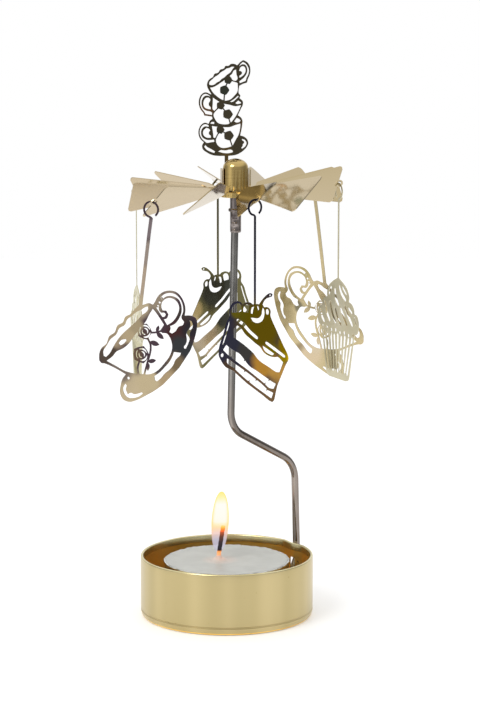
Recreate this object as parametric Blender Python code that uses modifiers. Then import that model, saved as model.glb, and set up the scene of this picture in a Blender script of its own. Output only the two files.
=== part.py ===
"""Candle carousel: a small tin holds a tealight, a bent wire stands up from its wall, and a
rotor of twelve twisted vanes turns on a needle at the top, with six flat charms hooked to it.

Metres, +Z up. The origin is on the table, straight under the axis that the rotor turns about.
Angles around that axis are counted from the front (-Y), rising towards +X.
"""

import math

import bmesh
import bpy
from mathutils import Matrix, Vector

# Clearances: what rests on, sits in or hangs from another piece keeps one of these gaps.
SEAT_GAP = 0.00030
BORE_GAP = 0.00020
CUT_OVERRUN = 0.0010
WELD_DISTANCE = 0.000002
FLAT_ANGLE = math.radians(0.2)

# Tin
TIN_RADIUS = 0.0260
TIN_HEIGHT = 0.0185
TIN_SHEET = 0.00040
TIN_CORNER = 0.0012
TIN_FOOT_HEIGHT = 0.0014
TIN_FOOT_STEP = 0.00020
TIN_HEM_HEIGHT = 0.0022
TIN_HEM_FOLD = 0.00045
TIN_OFFSET = -0.0027
TIN_STEPS = 40
SEAT_ANGLE = math.radians(35.5)
DENT_DEPTH = 0.0010
DENT_HALF_ANGLE = math.radians(12)
DENT_FULL_HEIGHT = 0.0120
DENT_END_HEIGHT = 0.0050
WINDOW_WIDTH = 0.0044
WINDOW_TOP = 0.0139
WINDOW_BOTTOM = 0.0064
WINDOW_CORNER = 0.0008

# Stand rod
ROD_RADIUS = 0.0011
ROD_ELBOW_HEIGHT = 0.0436
ROD_SHOULDER_HEIGHT = 0.0572
ROD_TOP = 0.1262
ROD_ELBOW_BEND = 0.0090
ROD_SHOULDER_BEND = 0.0080
ROD_JOGGLE_BEND = 0.0028
ROD_JOGGLE_BOTTOM = 0.0083
ROD_JOGGLE_TOP = 0.0135
ROD_BEND_STEPS = 5

# Needle bearing
SLEEVE_RADIUS = 0.00165
SLEEVE_GRIP = 0.0102
SLEEVE_NOSE = 0.0053
SLEEVE_COLLAR_RADIUS = 0.00215
SLEEVE_COLLAR_HEIGHT = 0.0010
SLEEVE_COLLAR_RISE = 0.0061
SLEEVE_CHAMFER = 0.00030
NEEDLE_RADIUS = 0.00070
NEEDLE_CONE = 0.0024
NEEDLE_OUT = 0.0035
NEEDLE_POINT_RADIUS = 0.00010
CAP_RADIUS = 0.00375
CAP_CROWN = 0.0028
CAP_DOME = 0.0028
CAP_WALL = 0.0014
CAP_FLANGE_RADIUS = 0.0045
CAP_FLANGE_HEIGHT = 0.0016
CAP_SEAT_CONE = 0.0012
SLEEVE_BOTTOM = ROD_TOP - SLEEVE_GRIP
SLEEVE_TOP = ROD_TOP + SLEEVE_NOSE
NEEDLE_TIP = SLEEVE_TOP + NEEDLE_OUT
CAP_TOP = NEEDLE_TIP + CAP_CROWN
TURN_STEPS = 20

# Rotor sheet
VANE_COUNT = 12
VANE_FIRST = math.radians(11.7)
VANE_TWIST = math.radians(40)
VANE_REACH = 0.0313
VANE_HALF_WIDTH = 0.00735
VANE_CORNER = 0.0012
# How far each vane's tip rises over the hub's level, as bent by hand, from the front one on
VANE_RISES = (0, 0.0010, 0.0026, 0.0011, -0.0001, -0.0004, -0.0001, -0.0009, -0.0015, -0.0016, -0.0016, 0.0001)
ROTOR_SHEET = 0.00030
HUB_RADIUS = 0.0064
HUB_BITE = 0.0008
NECK_HALF_WIDTH = 0.0012
NECK_START = 0.0066
NECK_END = 0.0088
NECK_FLARE = 0.0100
NECK_ROWS = 2
EAR_RADIUS = 0.0016
EAR_HOLE_RADIUS = 0.0011
EAR_INSET = 0.00010
EAR_PLACE = VANE_REACH - EAR_INSET
FINGER_WIDTH = 0.0024
FINGER_HEIGHT = 0.0066
FINGER_ANGLES = tuple(math.radians(a) for a in (101.7, 161.7, 281.7))

# Charms: hook, stem and sheet are the same on all six.
CHARM_SHEET = 0.00030
RING_RADIUS = 0.0025
RING_STRIP = 0.00057
RING_END = math.radians(322)
STEM_WIDTH = 0.00065
LINE_WIDTH = 0.00055
LEAF_WIDTH_SHARE = 0.45
TEACUP_DROP = 0.0300
TEACUP_LEAN = 0.0035
CAKE_DROP = 0.0293
CUPCAKE_DROP = 0.0277

# Roses, in shares of a rose's own radius
ROSE_WAVE_SHARE = 0.07
ROSE_TURNS = 1.2
ROSE_START_SHARE = 0.14
ROSE_SPREAD_SHARE = 0.50
ROSE_SLOT_SHARE = 0.15

# Charms in hooking order round the rotor: name, shape, number of their vane, and the angle
# between their plane and the rotor's rim at rest.
CHARMS = (
    ("cake_front", "cake", 0, math.radians(25)), ("cupcake_right", "cupcake", 2, math.radians(42)),
    ("teacup_back", "teacup", 4, math.radians(17)), ("cake_back", "cake", 6, math.radians(25)),
    ("cupcake_left", "cupcake", 8, math.radians(29)), ("teacup_front", "teacup", 10, math.radians(25)))

# Outlines are shares of a shape's own width and height from its lower left corner, listed
# clockwise from the right of its stem. A third value of 1 marks a corner; the other points
# lie on smooth stretches.
TEACUP_SIZE = (0.0313, 0.0334)
TEACUP_STEM_SHARE = (0.435, 0.862)
TEACUP_BODY_SHARES = (
    (0.472, 0.867), (0.522, 0.880), (0.561, 0.868, 1), (0.581, 0.894), (0.606, 0.937), (0.650, 0.977),
    (0.729, 1.000), (0.798, 0.989), (0.846, 0.950), (0.875, 0.902), (0.888, 0.845), (0.880, 0.790, 1),
    (0.914, 0.794), (0.958, 0.791), (0.992, 0.772), (1.006, 0.736), (1.001, 0.677), (0.986, 0.618),
    (0.932, 0.482), (0.824, 0.333), (0.665, 0.180), (0.565, 0.112), (0.473, 0.062), (0.380, 0.018),
    (0.313, 0.000), (0.249, 0.018), (0.217, 0.072), (0.224, 0.144), (0.243, 0.200), (0.277, 0.242, 1),
    (0.167, 0.290), (0.057, 0.325), (0.026, 0.327), (0.004, 0.347), (0.002, 0.398), (0.028, 0.459, 1),
    (0.079, 0.500), (0.110, 0.568, 1), (0.165, 0.605), (0.196, 0.668, 1), (0.252, 0.700),
    (0.277, 0.748, 1), (0.330, 0.775), (0.372, 0.818, 1))
TEACUP_WINDOW_SHARES = (
    (0.558, 0.834, 1), (0.590, 0.803), (0.672, 0.700, 1), (0.632, 0.648, 1), (0.652, 0.628),
    (0.700, 0.625), (0.733, 0.590), (0.752, 0.540), (0.754, 0.504), (0.736, 0.445), (0.676, 0.366),
    (0.587, 0.284), (0.527, 0.259), (0.487, 0.254), (0.367, 0.255), (0.277, 0.268), (0.167, 0.312),
    (0.078, 0.348, 1), (0.138, 0.390), (0.179, 0.434), (0.249, 0.468), (0.300, 0.505), (0.370, 0.589),
    (0.421, 0.643), (0.462, 0.690), (0.488, 0.722), (0.515, 0.770))
TEACUP_RIM_SHARES = (
    (0.508, 0.850), (0.512, 0.832), (0.495, 0.805), (0.455, 0.777), (0.391, 0.716), (0.291, 0.635),
    (0.230, 0.581), (0.159, 0.492), (0.108, 0.413), (0.072, 0.381), (0.047, 0.392), (0.045, 0.434),
    (0.079, 0.483), (0.119, 0.540), (0.180, 0.587), (0.211, 0.641), (0.271, 0.678), (0.292, 0.721),
    (0.342, 0.758), (0.392, 0.796), (0.442, 0.818), (0.480, 0.842))
TEACUP_HANDLE_SHARES = (
    (0.645, 0.848), (0.655, 0.898), (0.689, 0.925), (0.734, 0.936), (0.787, 0.920), (0.821, 0.882),
    (0.826, 0.841), (0.806, 0.790), (0.767, 0.738), (0.703, 0.697, 1), (0.669, 0.745, 1), (0.698, 0.755),
    (0.716, 0.790), (0.694, 0.824), (0.656, 0.824))
TEACUP_CHANNEL_SHARES = (
    (0.635, 0.930), (0.660, 0.955), (0.729, 0.979), (0.788, 0.970), (0.834, 0.936), (0.861, 0.885),
    (0.867, 0.827), (0.850, 0.768), (0.876, 0.736), (0.865, 0.711), (0.821, 0.692), (0.786, 0.648),
    (0.752, 0.627), (0.725, 0.638), (0.737, 0.674), (0.732, 0.690), (0.777, 0.710), (0.824, 0.762),
    (0.848, 0.818), (0.846, 0.876), (0.820, 0.926), (0.778, 0.948), (0.734, 0.954), (0.689, 0.944),
    (0.658, 0.920))
TEACUP_CURL_SHARES = (
    (0.592, 0.845), (0.620, 0.850), (0.622, 0.826), (0.644, 0.804), (0.677, 0.804), (0.692, 0.791),
    (0.677, 0.770), (0.653, 0.767))
TEACUP_SAUCER_SHARES = (
    (0.770, 0.468), (0.844, 0.464), (0.834, 0.443), (0.785, 0.398), (0.765, 0.355), (0.730, 0.315),
    (0.676, 0.273), (0.636, 0.229), (0.596, 0.199), (0.576, 0.208), (0.570, 0.243), (0.616, 0.273),
    (0.676, 0.328), (0.726, 0.381), (0.755, 0.429))
TEACUP_GLINT_SHARES = (
    (0.928, 0.752), (0.948, 0.749), (0.962, 0.721), (0.957, 0.683), (0.933, 0.640), (0.934, 0.599),
    (0.923, 0.565), (0.893, 0.505), (0.874, 0.503), (0.872, 0.520), (0.888, 0.538), (0.901, 0.580),
    (0.896, 0.630), (0.913, 0.664), (0.933, 0.690), (0.938, 0.723))
TEACUP_FOOT_GLINT_SHARES = (
    (0.271, 0.160), (0.284, 0.146), (0.276, 0.111), (0.296, 0.067), (0.331, 0.081), (0.361, 0.072),
    (0.406, 0.080), (0.441, 0.093), (0.452, 0.083), (0.416, 0.057), (0.356, 0.038), (0.295, 0.038),
    (0.261, 0.068), (0.248, 0.118))
TEACUP_LENS_SHARES = (
    (0.205, 0.512), (0.230, 0.539), (0.280, 0.552), (0.288, 0.542), (0.260, 0.513), (0.224, 0.494))
TEACUP_PIP_SHARE = (0.305, 0.210)
TEACUP_PIP_RADIUS = 0.00040
TEACUP_ROSE_SHARES = (((0.470, 0.630), 0.0735), ((0.435, 0.425), 0.0799))
TEACUP_TWIG_SHARES = (
    ((0.490, 0.590), (0.532, 0.520), (0.528, 0.445), (0.500, 0.360), (0.462, 0.235)),
    ((0.520, 0.622), (0.585, 0.628), (0.665, 0.650)), ((0.425, 0.380), (0.400, 0.310), (0.410, 0.235)))
TEACUP_LEAF_SHARES = (
    ((0.595, 0.625), (0.617, 0.690)), ((0.590, 0.632), (0.668, 0.574)), ((0.520, 0.545), (0.625, 0.520)),
    ((0.500, 0.365), (0.590, 0.385)), ((0.500, 0.370), (0.505, 0.285)))

CAKE_SIZE = (0.0248, 0.0309)
CAKE_STEM_SHARE = (0.513, 0.929)
CAKE_BODY_SHARES = (
    (0.547, 0.930, 1), (0.573, 0.922, 1), (0.597, 0.945), (0.618, 0.963), (0.658, 0.990), (0.703, 1.012),
    (0.736, 1.018), (0.765, 1.006), (0.755, 0.988), (0.721, 0.979), (0.675, 0.971), (0.641, 0.948),
    (0.622, 0.920, 1), (0.647, 0.893), (0.680, 0.893), (0.715, 0.880), (0.737, 0.850), (0.733, 0.814, 1),
    (0.831, 0.654), (0.912, 0.532), (0.994, 0.413), (1.000, 0.383), (0.960, 0.330, 1), (0.839, 0.147),
    (0.787, 0.008), (0.764, -0.005), (0.730, 0.008), (0.615, 0.078), (0.398, 0.202), (0.206, 0.332),
    (0.094, 0.380), (0.033, 0.442), (0.000, 0.496), (0.003, 0.555), (0.072, 0.697), (0.111, 0.789),
    (0.156, 0.845, 1), (0.150, 0.890), (0.177, 0.946), (0.223, 0.972), (0.268, 0.974), (0.313, 0.960),
    (0.341, 0.938, 1), (0.375, 0.952), (0.414, 0.955), (0.454, 0.947), (0.482, 0.930, 1))
CAKE_CREAM_SHARES = (
    (0.212, 0.724), (0.262, 0.748), (0.318, 0.714), (0.375, 0.658), (0.454, 0.606), (0.511, 0.569),
    (0.590, 0.522), (0.640, 0.470), (0.717, 0.430), (0.800, 0.412), (0.837, 0.412), (0.922, 0.356, 1),
    (0.872, 0.270, 1), (0.832, 0.274), (0.717, 0.330), (0.557, 0.417), (0.488, 0.481), (0.420, 0.527),
    (0.307, 0.595), (0.212, 0.643, 1))
CAKE_LAYER_SHARES = (
    ((0.104, 0.580), (0.206, 0.519), (0.296, 0.481), (0.347, 0.437), (0.432, 0.359), (0.534, 0.307),
     (0.648, 0.245), (0.764, 0.183), (0.815, 0.160)),
    ((0.062, 0.540), (0.150, 0.476), (0.262, 0.412), (0.409, 0.330), (0.603, 0.213), (0.720, 0.135),
     (0.785, 0.120)))
CAKE_CRUMB_SHARES = (
    ((0.116, 0.455), (0.206, 0.405), (0.296, 0.358), (0.420, 0.290), (0.591, 0.188), (0.706, 0.108),
     (0.778, 0.078)),
    ((0.116, 0.420), (0.206, 0.366), (0.296, 0.303), (0.398, 0.236), (0.512, 0.167), (0.640, 0.095),
     (0.754, 0.032)))
CAKE_TEETH = 4
CAKE_TOOTH = 0.00050
CAKE_HOLE_SHARES = (((0.047, 0.491), 0.0182), ((0.731, 0.998), 0.0081))
CAKE_SLOTS = (
    (((0.262, 0.800), (0.345, 0.755), (0.440, 0.680), (0.548, 0.611)), 0.00085),
    (((0.672, 0.560), (0.760, 0.512), (0.850, 0.462), (0.945, 0.408)), 0.00075),
    (((0.150, 0.790), (0.118, 0.715), (0.082, 0.640), (0.058, 0.592)), 0.00038),
    (((0.553, 0.905), (0.566, 0.876)), 0.00045))
CAKE_LENS_SHARES = (
    (0.625, 0.532), (0.675, 0.507), (0.790, 0.445), (0.775, 0.438), (0.705, 0.458), (0.650, 0.492))
CAKE_ARCH_SHARES = (
    ((0.186, 0.876), (0.183, 0.902), (0.206, 0.934), (0.251, 0.951), (0.285, 0.948), (0.312, 0.926),
     (0.318, 0.878), (0.262, 0.873)),
    ((0.347, 0.873), (0.350, 0.904), (0.370, 0.926), (0.408, 0.932), (0.432, 0.920), (0.425, 0.885),
     (0.415, 0.863)),
    ((0.676, 0.835), (0.674, 0.866), (0.688, 0.870), (0.702, 0.864), (0.712, 0.843), (0.708, 0.824),
     (0.684, 0.824)))
CAKE_CRESCENT_SHARES = (
    ((0.456, 0.806), (0.488, 0.773), (0.556, 0.755), (0.620, 0.771), (0.648, 0.820), (0.642, 0.872),
     (0.624, 0.888), (0.617, 0.862), (0.605, 0.822), (0.573, 0.798), (0.533, 0.794), (0.488, 0.802)),
    ((0.470, 0.902), (0.500, 0.906), (0.488, 0.880), (0.480, 0.845), (0.457, 0.850), (0.460, 0.882)))

CUPCAKE_SIZE = (0.0270, 0.0298)
CUPCAKE_STEM_SHARE = (0.500, 1.000)
# The cupcake's across shares count from its middle line, in halves of its width.
CUPCAKE_HALF_SHARES = (
    (0.080, 0.990, 1), (0.260, 0.956), (0.445, 0.903), (0.533, 0.832), (0.526, 0.789, 1), (0.667, 0.772),
    (0.763, 0.730), (0.785, 0.688, 1), (0.919, 0.672), (0.993, 0.611), (1.000, 0.554), (0.948, 0.503),
    (0.815, 0.478, 1), (0.790, 0.456), (0.570, 0.060, 1), (0.520, 0.017), (0.400, 0.000))
CUPCAKE_SLOTS = (
    (((0.437, 0.822), (0.400, 0.852), (0.330, 0.892)), 0.00070),
    (((0.150, 0.880), (0.110, 0.800), (-0.030, 0.738)), 0.00110),
    (((-0.060, 0.920), (-0.170, 0.855), (-0.370, 0.800)), 0.00090),
    (((-0.220, 0.918), (-0.400, 0.860)), 0.00065),
    (((0.640, 0.728), (0.560, 0.640), (0.400, 0.555)), 0.00095),
    (((0.380, 0.740), (0.290, 0.640), (0.110, 0.555)), 0.00110),
    (((0.130, 0.690), (0.020, 0.610), (-0.150, 0.545)), 0.00090),
    (((-0.140, 0.700), (-0.280, 0.630), (-0.440, 0.560)), 0.00110),
    (((-0.330, 0.735), (-0.500, 0.655), (-0.700, 0.570)), 0.00100),
    (((-0.520, 0.728), (-0.680, 0.690)), 0.00060),
    (((0.860, 0.640), (0.800, 0.580), (0.680, 0.530)), 0.00085),
    (((-0.800, 0.650), (-0.880, 0.590)), 0.00060))
CUPCAKE_DOTS = 8
CUPCAKE_DOT_RADIUS = 0.00036
CUPCAKE_DOT_SPAN_SHARE = 0.740
CUPCAKE_BAND_SHARES = (0.476, 0.464)
CUPCAKE_BAND_SAG_SHARE = 0.012
CUPCAKE_PLEATS = 9
CUPCAKE_PLEAT_TOP_SHARES = (0.690, 0.435)
CUPCAKE_PLEAT_BOTTOM_SHARES = (0.460, 0.075)
CUPCAKE_PLEAT_STEP_SHARES = (0.000, 0.014)
CUPCAKE_PLEAT_WIDTH = 0.00085

# Topper
TOPPER_SIZE = (0.0151, 0.0281)
TOPPER_SHEET = 0.00040
TOPPER_RISE = 0.00040
TOPPER_BOTTOM = CAP_TOP + TOPPER_RISE
TOPPER_PLACE = (-0.0027, 0.0037)
TOPPER_STEM_WIDTH = 0.0012
TOPPER_STEM_SHARE = (0.539, 0.000)
TOPPER_LINE_WIDTH = 0.00040
TOPPER_BODY_SHARES = (
    (0.734, 0.012), (0.864, 0.052), (0.942, 0.098), (0.969, 0.139), (0.947, 0.176), (0.890, 0.204),
    (0.812, 0.218, 1), (0.835, 0.274), (0.853, 0.338), (0.855, 0.372), (0.828, 0.404), (0.766, 0.428, 1),
    (0.825, 0.495), (0.864, 0.541), (0.860, 0.575), (0.798, 0.607, 1), (0.814, 0.633), (0.783, 0.658, 1),
    (0.792, 0.733, 1), (0.864, 0.753), (0.942, 0.770), (0.958, 0.801), (0.998, 0.851), (1.009, 0.907),
    (0.985, 0.956), (0.930, 0.988), (0.864, 1.004), (0.808, 0.984), (0.749, 0.950, 1), (0.708, 0.962),
    (0.630, 0.964, 1), (0.578, 0.945), (0.519, 0.942, 1), (0.487, 0.917), (0.416, 0.904, 1),
    (0.377, 0.874), (0.305, 0.860, 1), (0.273, 0.828), (0.214, 0.808), (0.168, 0.774), (0.158, 0.737),
    (0.195, 0.687), (0.243, 0.646, 1), (0.123, 0.668), (0.054, 0.648), (0.004, 0.598), (0.000, 0.537),
    (0.036, 0.484), (0.088, 0.448), (0.105, 0.423), (0.188, 0.417), (0.254, 0.412), (0.262, 0.391),
    (0.216, 0.372), (0.188, 0.340, 1), (0.123, 0.352), (0.054, 0.334), (0.000, 0.288), (-0.012, 0.238),
    (0.018, 0.185), (0.092, 0.144, 1), (0.061, 0.114), (0.071, 0.074), (0.149, 0.038), (0.266, 0.008),
    (0.383, 0.000))
TOPPER_OPENING_SHARES = (
    ((0.240, 0.742), (0.202, 0.748), (0.213, 0.776), (0.258, 0.799), (0.318, 0.828), (0.383, 0.850),
     (0.429, 0.874), (0.506, 0.898), (0.545, 0.914), (0.597, 0.920), (0.643, 0.932), (0.692, 0.932),
     (0.662, 0.911), (0.610, 0.872), (0.545, 0.847), (0.506, 0.826), (0.442, 0.804), (0.403, 0.783),
     (0.351, 0.769), (0.299, 0.747)),
    ((0.222, 0.715), (0.273, 0.719), (0.370, 0.745), (0.429, 0.767), (0.474, 0.782), (0.552, 0.815),
     (0.643, 0.855), (0.690, 0.896), (0.727, 0.902), (0.736, 0.851), (0.755, 0.808), (0.708, 0.776),
     (0.757, 0.762), (0.760, 0.733), (0.752, 0.673), (0.695, 0.632), (0.604, 0.590), (0.519, 0.580),
     (0.448, 0.592), (0.357, 0.625), (0.275, 0.667)),
    ((0.788, 0.890), (0.809, 0.923), (0.844, 0.937), (0.885, 0.934), (0.910, 0.911), (0.908, 0.879),
     (0.866, 0.844), (0.796, 0.818), (0.791, 0.838), (0.827, 0.851), (0.848, 0.868), (0.825, 0.886)),
    ((0.782, 0.936), (0.825, 0.966), (0.864, 0.982), (0.918, 0.963), (0.957, 0.932), (0.976, 0.904),
     (0.964, 0.854), (0.926, 0.812), (0.916, 0.790), (0.864, 0.776), (0.800, 0.762), (0.792, 0.782),
     (0.883, 0.821), (0.940, 0.872), (0.943, 0.916), (0.909, 0.952), (0.844, 0.958), (0.800, 0.944)),
    ((0.277, 0.612), (0.344, 0.587), (0.435, 0.555), (0.513, 0.545), (0.604, 0.536), (0.708, 0.522),
     (0.822, 0.532), (0.784, 0.482), (0.708, 0.408), (0.636, 0.358), (0.578, 0.337), (0.474, 0.333),
     (0.370, 0.350), (0.322, 0.383), (0.290, 0.438), (0.322, 0.467), (0.275, 0.488), (0.273, 0.552)),
    ((0.225, 0.591), (0.195, 0.610), (0.147, 0.610), (0.099, 0.577), (0.090, 0.544), (0.121, 0.507),
     (0.175, 0.494), (0.232, 0.489), (0.230, 0.510), (0.199, 0.530), (0.195, 0.555), (0.217, 0.573)),
    ((0.228, 0.620), (0.195, 0.637), (0.123, 0.650), (0.069, 0.632), (0.036, 0.591), (0.030, 0.541),
     (0.063, 0.495), (0.117, 0.456), (0.130, 0.441), (0.195, 0.436), (0.256, 0.430), (0.258, 0.453),
     (0.227, 0.466), (0.162, 0.473), (0.091, 0.493), (0.054, 0.541), (0.060, 0.584), (0.123, 0.630),
     (0.190, 0.630)),
    ((0.610, 0.568), (0.708, 0.604), (0.765, 0.632), (0.776, 0.622), (0.730, 0.598), (0.649, 0.566)),
    ((0.715, 0.555), (0.768, 0.581), (0.822, 0.562), (0.820, 0.552), (0.740, 0.546)),
    ((0.299, 0.358), (0.240, 0.353), (0.228, 0.340), (0.300, 0.336)),
    ((0.692, 0.363), (0.740, 0.400), (0.788, 0.388), (0.815, 0.372), (0.800, 0.361), (0.734, 0.352)),
    ((0.256, 0.315), (0.344, 0.308), (0.474, 0.304), (0.604, 0.304), (0.708, 0.324), (0.812, 0.340),
     (0.803, 0.281), (0.773, 0.222), (0.723, 0.174), (0.688, 0.139), (0.656, 0.106), (0.552, 0.089),
     (0.435, 0.089), (0.370, 0.114), (0.335, 0.160), (0.344, 0.187), (0.286, 0.194), (0.273, 0.260)),
    ((0.195, 0.287), (0.147, 0.295), (0.094, 0.270), (0.081, 0.246), (0.100, 0.214), (0.147, 0.195),
     (0.234, 0.192), (0.232, 0.212), (0.195, 0.232), (0.199, 0.253), (0.222, 0.270)),
    ((0.190, 0.322), (0.123, 0.334), (0.066, 0.318), (0.027, 0.281), (0.018, 0.238), (0.048, 0.192),
     (0.123, 0.151), (0.149, 0.140), (0.227, 0.144), (0.302, 0.150), (0.294, 0.172), (0.143, 0.172),
     (0.063, 0.202), (0.042, 0.246), (0.058, 0.283), (0.123, 0.312), (0.190, 0.306)),
    ((0.127, 0.115), (0.156, 0.098), (0.253, 0.069), (0.315, 0.048), (0.300, 0.033), (0.227, 0.046),
     (0.140, 0.073), (0.105, 0.098)),
    ((0.845, 0.180), (0.896, 0.169), (0.930, 0.139), (0.910, 0.106), (0.845, 0.078), (0.828, 0.086),
     (0.857, 0.107), (0.861, 0.125), (0.885, 0.139), (0.880, 0.153), (0.842, 0.168)),
    ((0.377, 0.048), (0.422, 0.061), (0.513, 0.059), (0.630, 0.067), (0.660, 0.055), (0.662, 0.041),
     (0.604, 0.032), (0.487, 0.032)))
TOPPER_ROSE_SHARES = (
    ((0.575, 0.795), 0.0795), ((0.500, 0.690), 0.0927), ((0.425, 0.530), 0.0795),
    ((0.565, 0.438), 0.0960), ((0.420, 0.276), 0.0795), ((0.584, 0.214), 0.0960))
TOPPER_TWIG_SHARES = (
    ((0.549, 0.758), (0.530, 0.733)), ((0.500, 0.644), (0.492, 0.575)), ((0.648, 0.790), (0.728, 0.777)),
    ((0.472, 0.499), (0.509, 0.475)), ((0.588, 0.392), (0.618, 0.335)), ((0.374, 0.502), (0.296, 0.460)),
    ((0.480, 0.253), (0.512, 0.241)), ((0.612, 0.169), (0.655, 0.098)), ((0.385, 0.242), (0.322, 0.180)))

# Tealight
CANDLE_RADIUS = 0.0190
CANDLE_HEIGHT = 0.0160
CANDLE_SHEET = 0.00030
CANDLE_BEAD = 0.00030
CANDLE_CORNER = 0.0010
CANDLE_STEPS = 28
WAX_BELOW_RIM = 0.00010
WICK_OFFSET = -0.0020
WICK_RADIUS = 0.00070
WICK_RISE = 0.0103
WICK_STRAIGHT = 0.0008
WICK_LEAN = 0.0014
WICK_BEND = 0.0060
MOUND_RADIUS = 0.0026
MOUND_RISE = 0.0006
MOUND_BITE = 0.0005
MOUND_PROFILE_SHARES = ((0.0, 1.0), (0.5, 0.8), (1.0, 0.0))
FOOT_RADIUS = 0.0060
FOOT_SHEET = 0.00030
FOOT_NECK_HEIGHT = 0.0030
FOOT_NECK_WALL = 0.00035

for leftover in list(bpy.data.objects):
    bpy.data.objects.remove(leftover, do_unlink=True)
PARTS = bpy.data.collections.new("candle_carousel")
CUTTERS = bpy.data.collections.new("cutters")
CUTTERS.hide_render = True
bpy.context.scene.collection.children.link(PARTS)
bpy.context.scene.collection.children.link(CUTTERS)


def material(name, colour, metallic, roughness):
    """A plain surface: one colour, how metallic it is and how rough."""
    made = bpy.data.materials.new(name)
    made.use_nodes = True
    shader = made.node_tree.nodes["Principled BSDF"]
    shader.inputs["Base Color"].default_value = (*colour, 1.0)
    shader.inputs["Metallic"].default_value = metallic
    shader.inputs["Roughness"].default_value = roughness
    return made


BRASS_TIN = material("lacquered_brass_tin", (0.60, 0.50, 0.24), 1.0, 0.32)
BRASS_SHEET = material("polished_brass_sheet", (0.66, 0.54, 0.30), 1.0, 0.12)
BRASS_TURNED = material("turned_brass", (0.55, 0.38, 0.13), 1.0, 0.10)
STEEL_WIRE = material("steel_wire", (0.26, 0.23, 0.21), 1.0, 0.30)
NICKEL = material("nickel_plate", (0.34, 0.32, 0.31), 1.0, 0.15)
ALUMINIUM = material("tealight_aluminium", (0.80, 0.80, 0.82), 1.0, 0.25)
WAX = material("paraffin_wax", (0.80, 0.80, 0.78), 0.0, 0.45)
COTTON = material("cotton_wick", (0.10, 0.06, 0.04), 0.0, 0.90)


def linked(name, data, surface=None):
    obj = bpy.data.objects.new(name, data)
    PARTS.objects.link(obj)
    if surface is not None:
        data.materials.clear()
        data.materials.append(surface)
    return obj


def evaluated_mesh(obj):
    """The object's mesh with its modifiers worked out, its doubles merged and no empty faces."""
    bpy.context.view_layer.update()
    graph = bpy.context.evaluated_depsgraph_get()
    mesh = bpy.data.meshes.new_from_object(obj.evaluated_get(graph))
    body = bmesh.new()
    body.from_mesh(mesh)
    bmesh.ops.remove_doubles(body, verts=body.verts, dist=WELD_DISTANCE)
    bmesh.ops.dissolve_degenerate(body, edges=body.edges, dist=WELD_DISTANCE)
    body.to_mesh(mesh)
    body.free()
    return mesh


def turned(name, profile, steps, surface):
    """Turn a profile of (radius, height) points about Z.

    It runs clockwise, either all the way round or from the axis back to the axis."""
    last = len(profile) - 1
    edges = [(i, i + 1) for i in range(last)]
    if profile[0][0] > 0:
        edges.append((last, 0))
    mesh = bpy.data.meshes.new(name)
    mesh.from_pydata([(r, 0, z) for r, z in profile], edges, [])
    obj = linked(name, mesh, surface)
    screw = obj.modifiers.new("turn", 'SCREW')
    screw.steps = steps
    screw.render_steps = steps
    screw.use_merge_vertices = True
    screw.merge_threshold = WELD_DISTANCE
    obj.data = evaluated_mesh(obj)
    obj.modifiers.clear()
    obj.data.shade_smooth()
    obj.data.set_sharp_from_angle(angle=math.radians(35))
    return obj


def arc(centre, radius, start, end, steps):
    """Points on a circle from one angle to another, both included."""
    return [(centre[0] + radius * math.cos(start + (end - start) * i / steps),
             centre[1] + radius * math.sin(start + (end - start) * i / steps)) for i in range(steps + 1)]


def circle(centre, radius, steps):
    return arc(centre, radius, 0, 2 * math.pi * (steps - 1) / steps, steps - 1)


def flow(points, steps, closed=True):
    """Cubic stretches through the points; one with a third value of 1 keeps its corner."""
    count = len(points)
    spots = [Vector(p[:2]) for p in points]
    corner = [len(p) > 2 for p in points]
    result = []
    for i in range(count if closed else count - 1):
        after_i = (i + 1) % count
        here, after = spots[i], spots[after_i]
        before = spots[i - 1] if closed or i else here
        beyond = spots[(i + 2) % count] if closed or i + 2 < count else after
        leave = after - here if corner[i] else (after - before) / 2
        arrive = after - here if corner[after_i] else (beyond - here) / 2
        for k in range(steps):
            t = k / steps
            result.append(tuple(
                (2 * t**3 - 3 * t**2 + 1) * here + (t**3 - 2 * t**2 + t) * leave
                + (3 * t**2 - 2 * t**3) * after + (t**3 - t**2) * arrive))
    if not closed:
        result.append(tuple(spots[-1]))
    return result


def strip(points, width, end_share=1.0, round_steps=2):
    """A band along the points with round ends; end_share narrows it towards both ends."""
    spots = [Vector(p[:2]) for p in points]
    last = len(spots) - 1
    left, right = [], []
    for i, spot in enumerate(spots):
        along = (spots[min(i + 1, last)] - spots[max(i - 1, 0)]).normalized()
        side = Vector((-along.y, along.x))
        reach = width / 2 * (1 - (1 - end_share) * abs(2 * i / last - 1))
        left.append(tuple(spot + side * reach))
        right.append(tuple(spot - side * reach))

    def cap(spot, way):
        turn = math.atan2(way.y, way.x)
        return arc(spot, width / 2 * end_share, turn + math.pi / 2, turn - math.pi / 2, round_steps)[1:-1]

    nose = cap(spots[last], spots[last] - spots[last - 1])
    tail = cap(spots[0], spots[0] - spots[1])
    return left + nose + right[::-1] + tail


def leaf(base, tip, steps=3):
    """A lens from base to tip."""
    start = Vector(base)
    along = Vector(tip) - start
    side = Vector((-along.y, along.x)) * LEAF_WIDTH_SHARE / 2
    upper = [start + along * k / steps + side * math.sin(math.pi * k / steps) for k in range(steps + 1)]
    lower = [start + along * k / steps - side * math.sin(math.pi * k / steps) for k in range(steps - 1, 0, -1)]
    return [tuple(p) for p in upper + lower]


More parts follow.
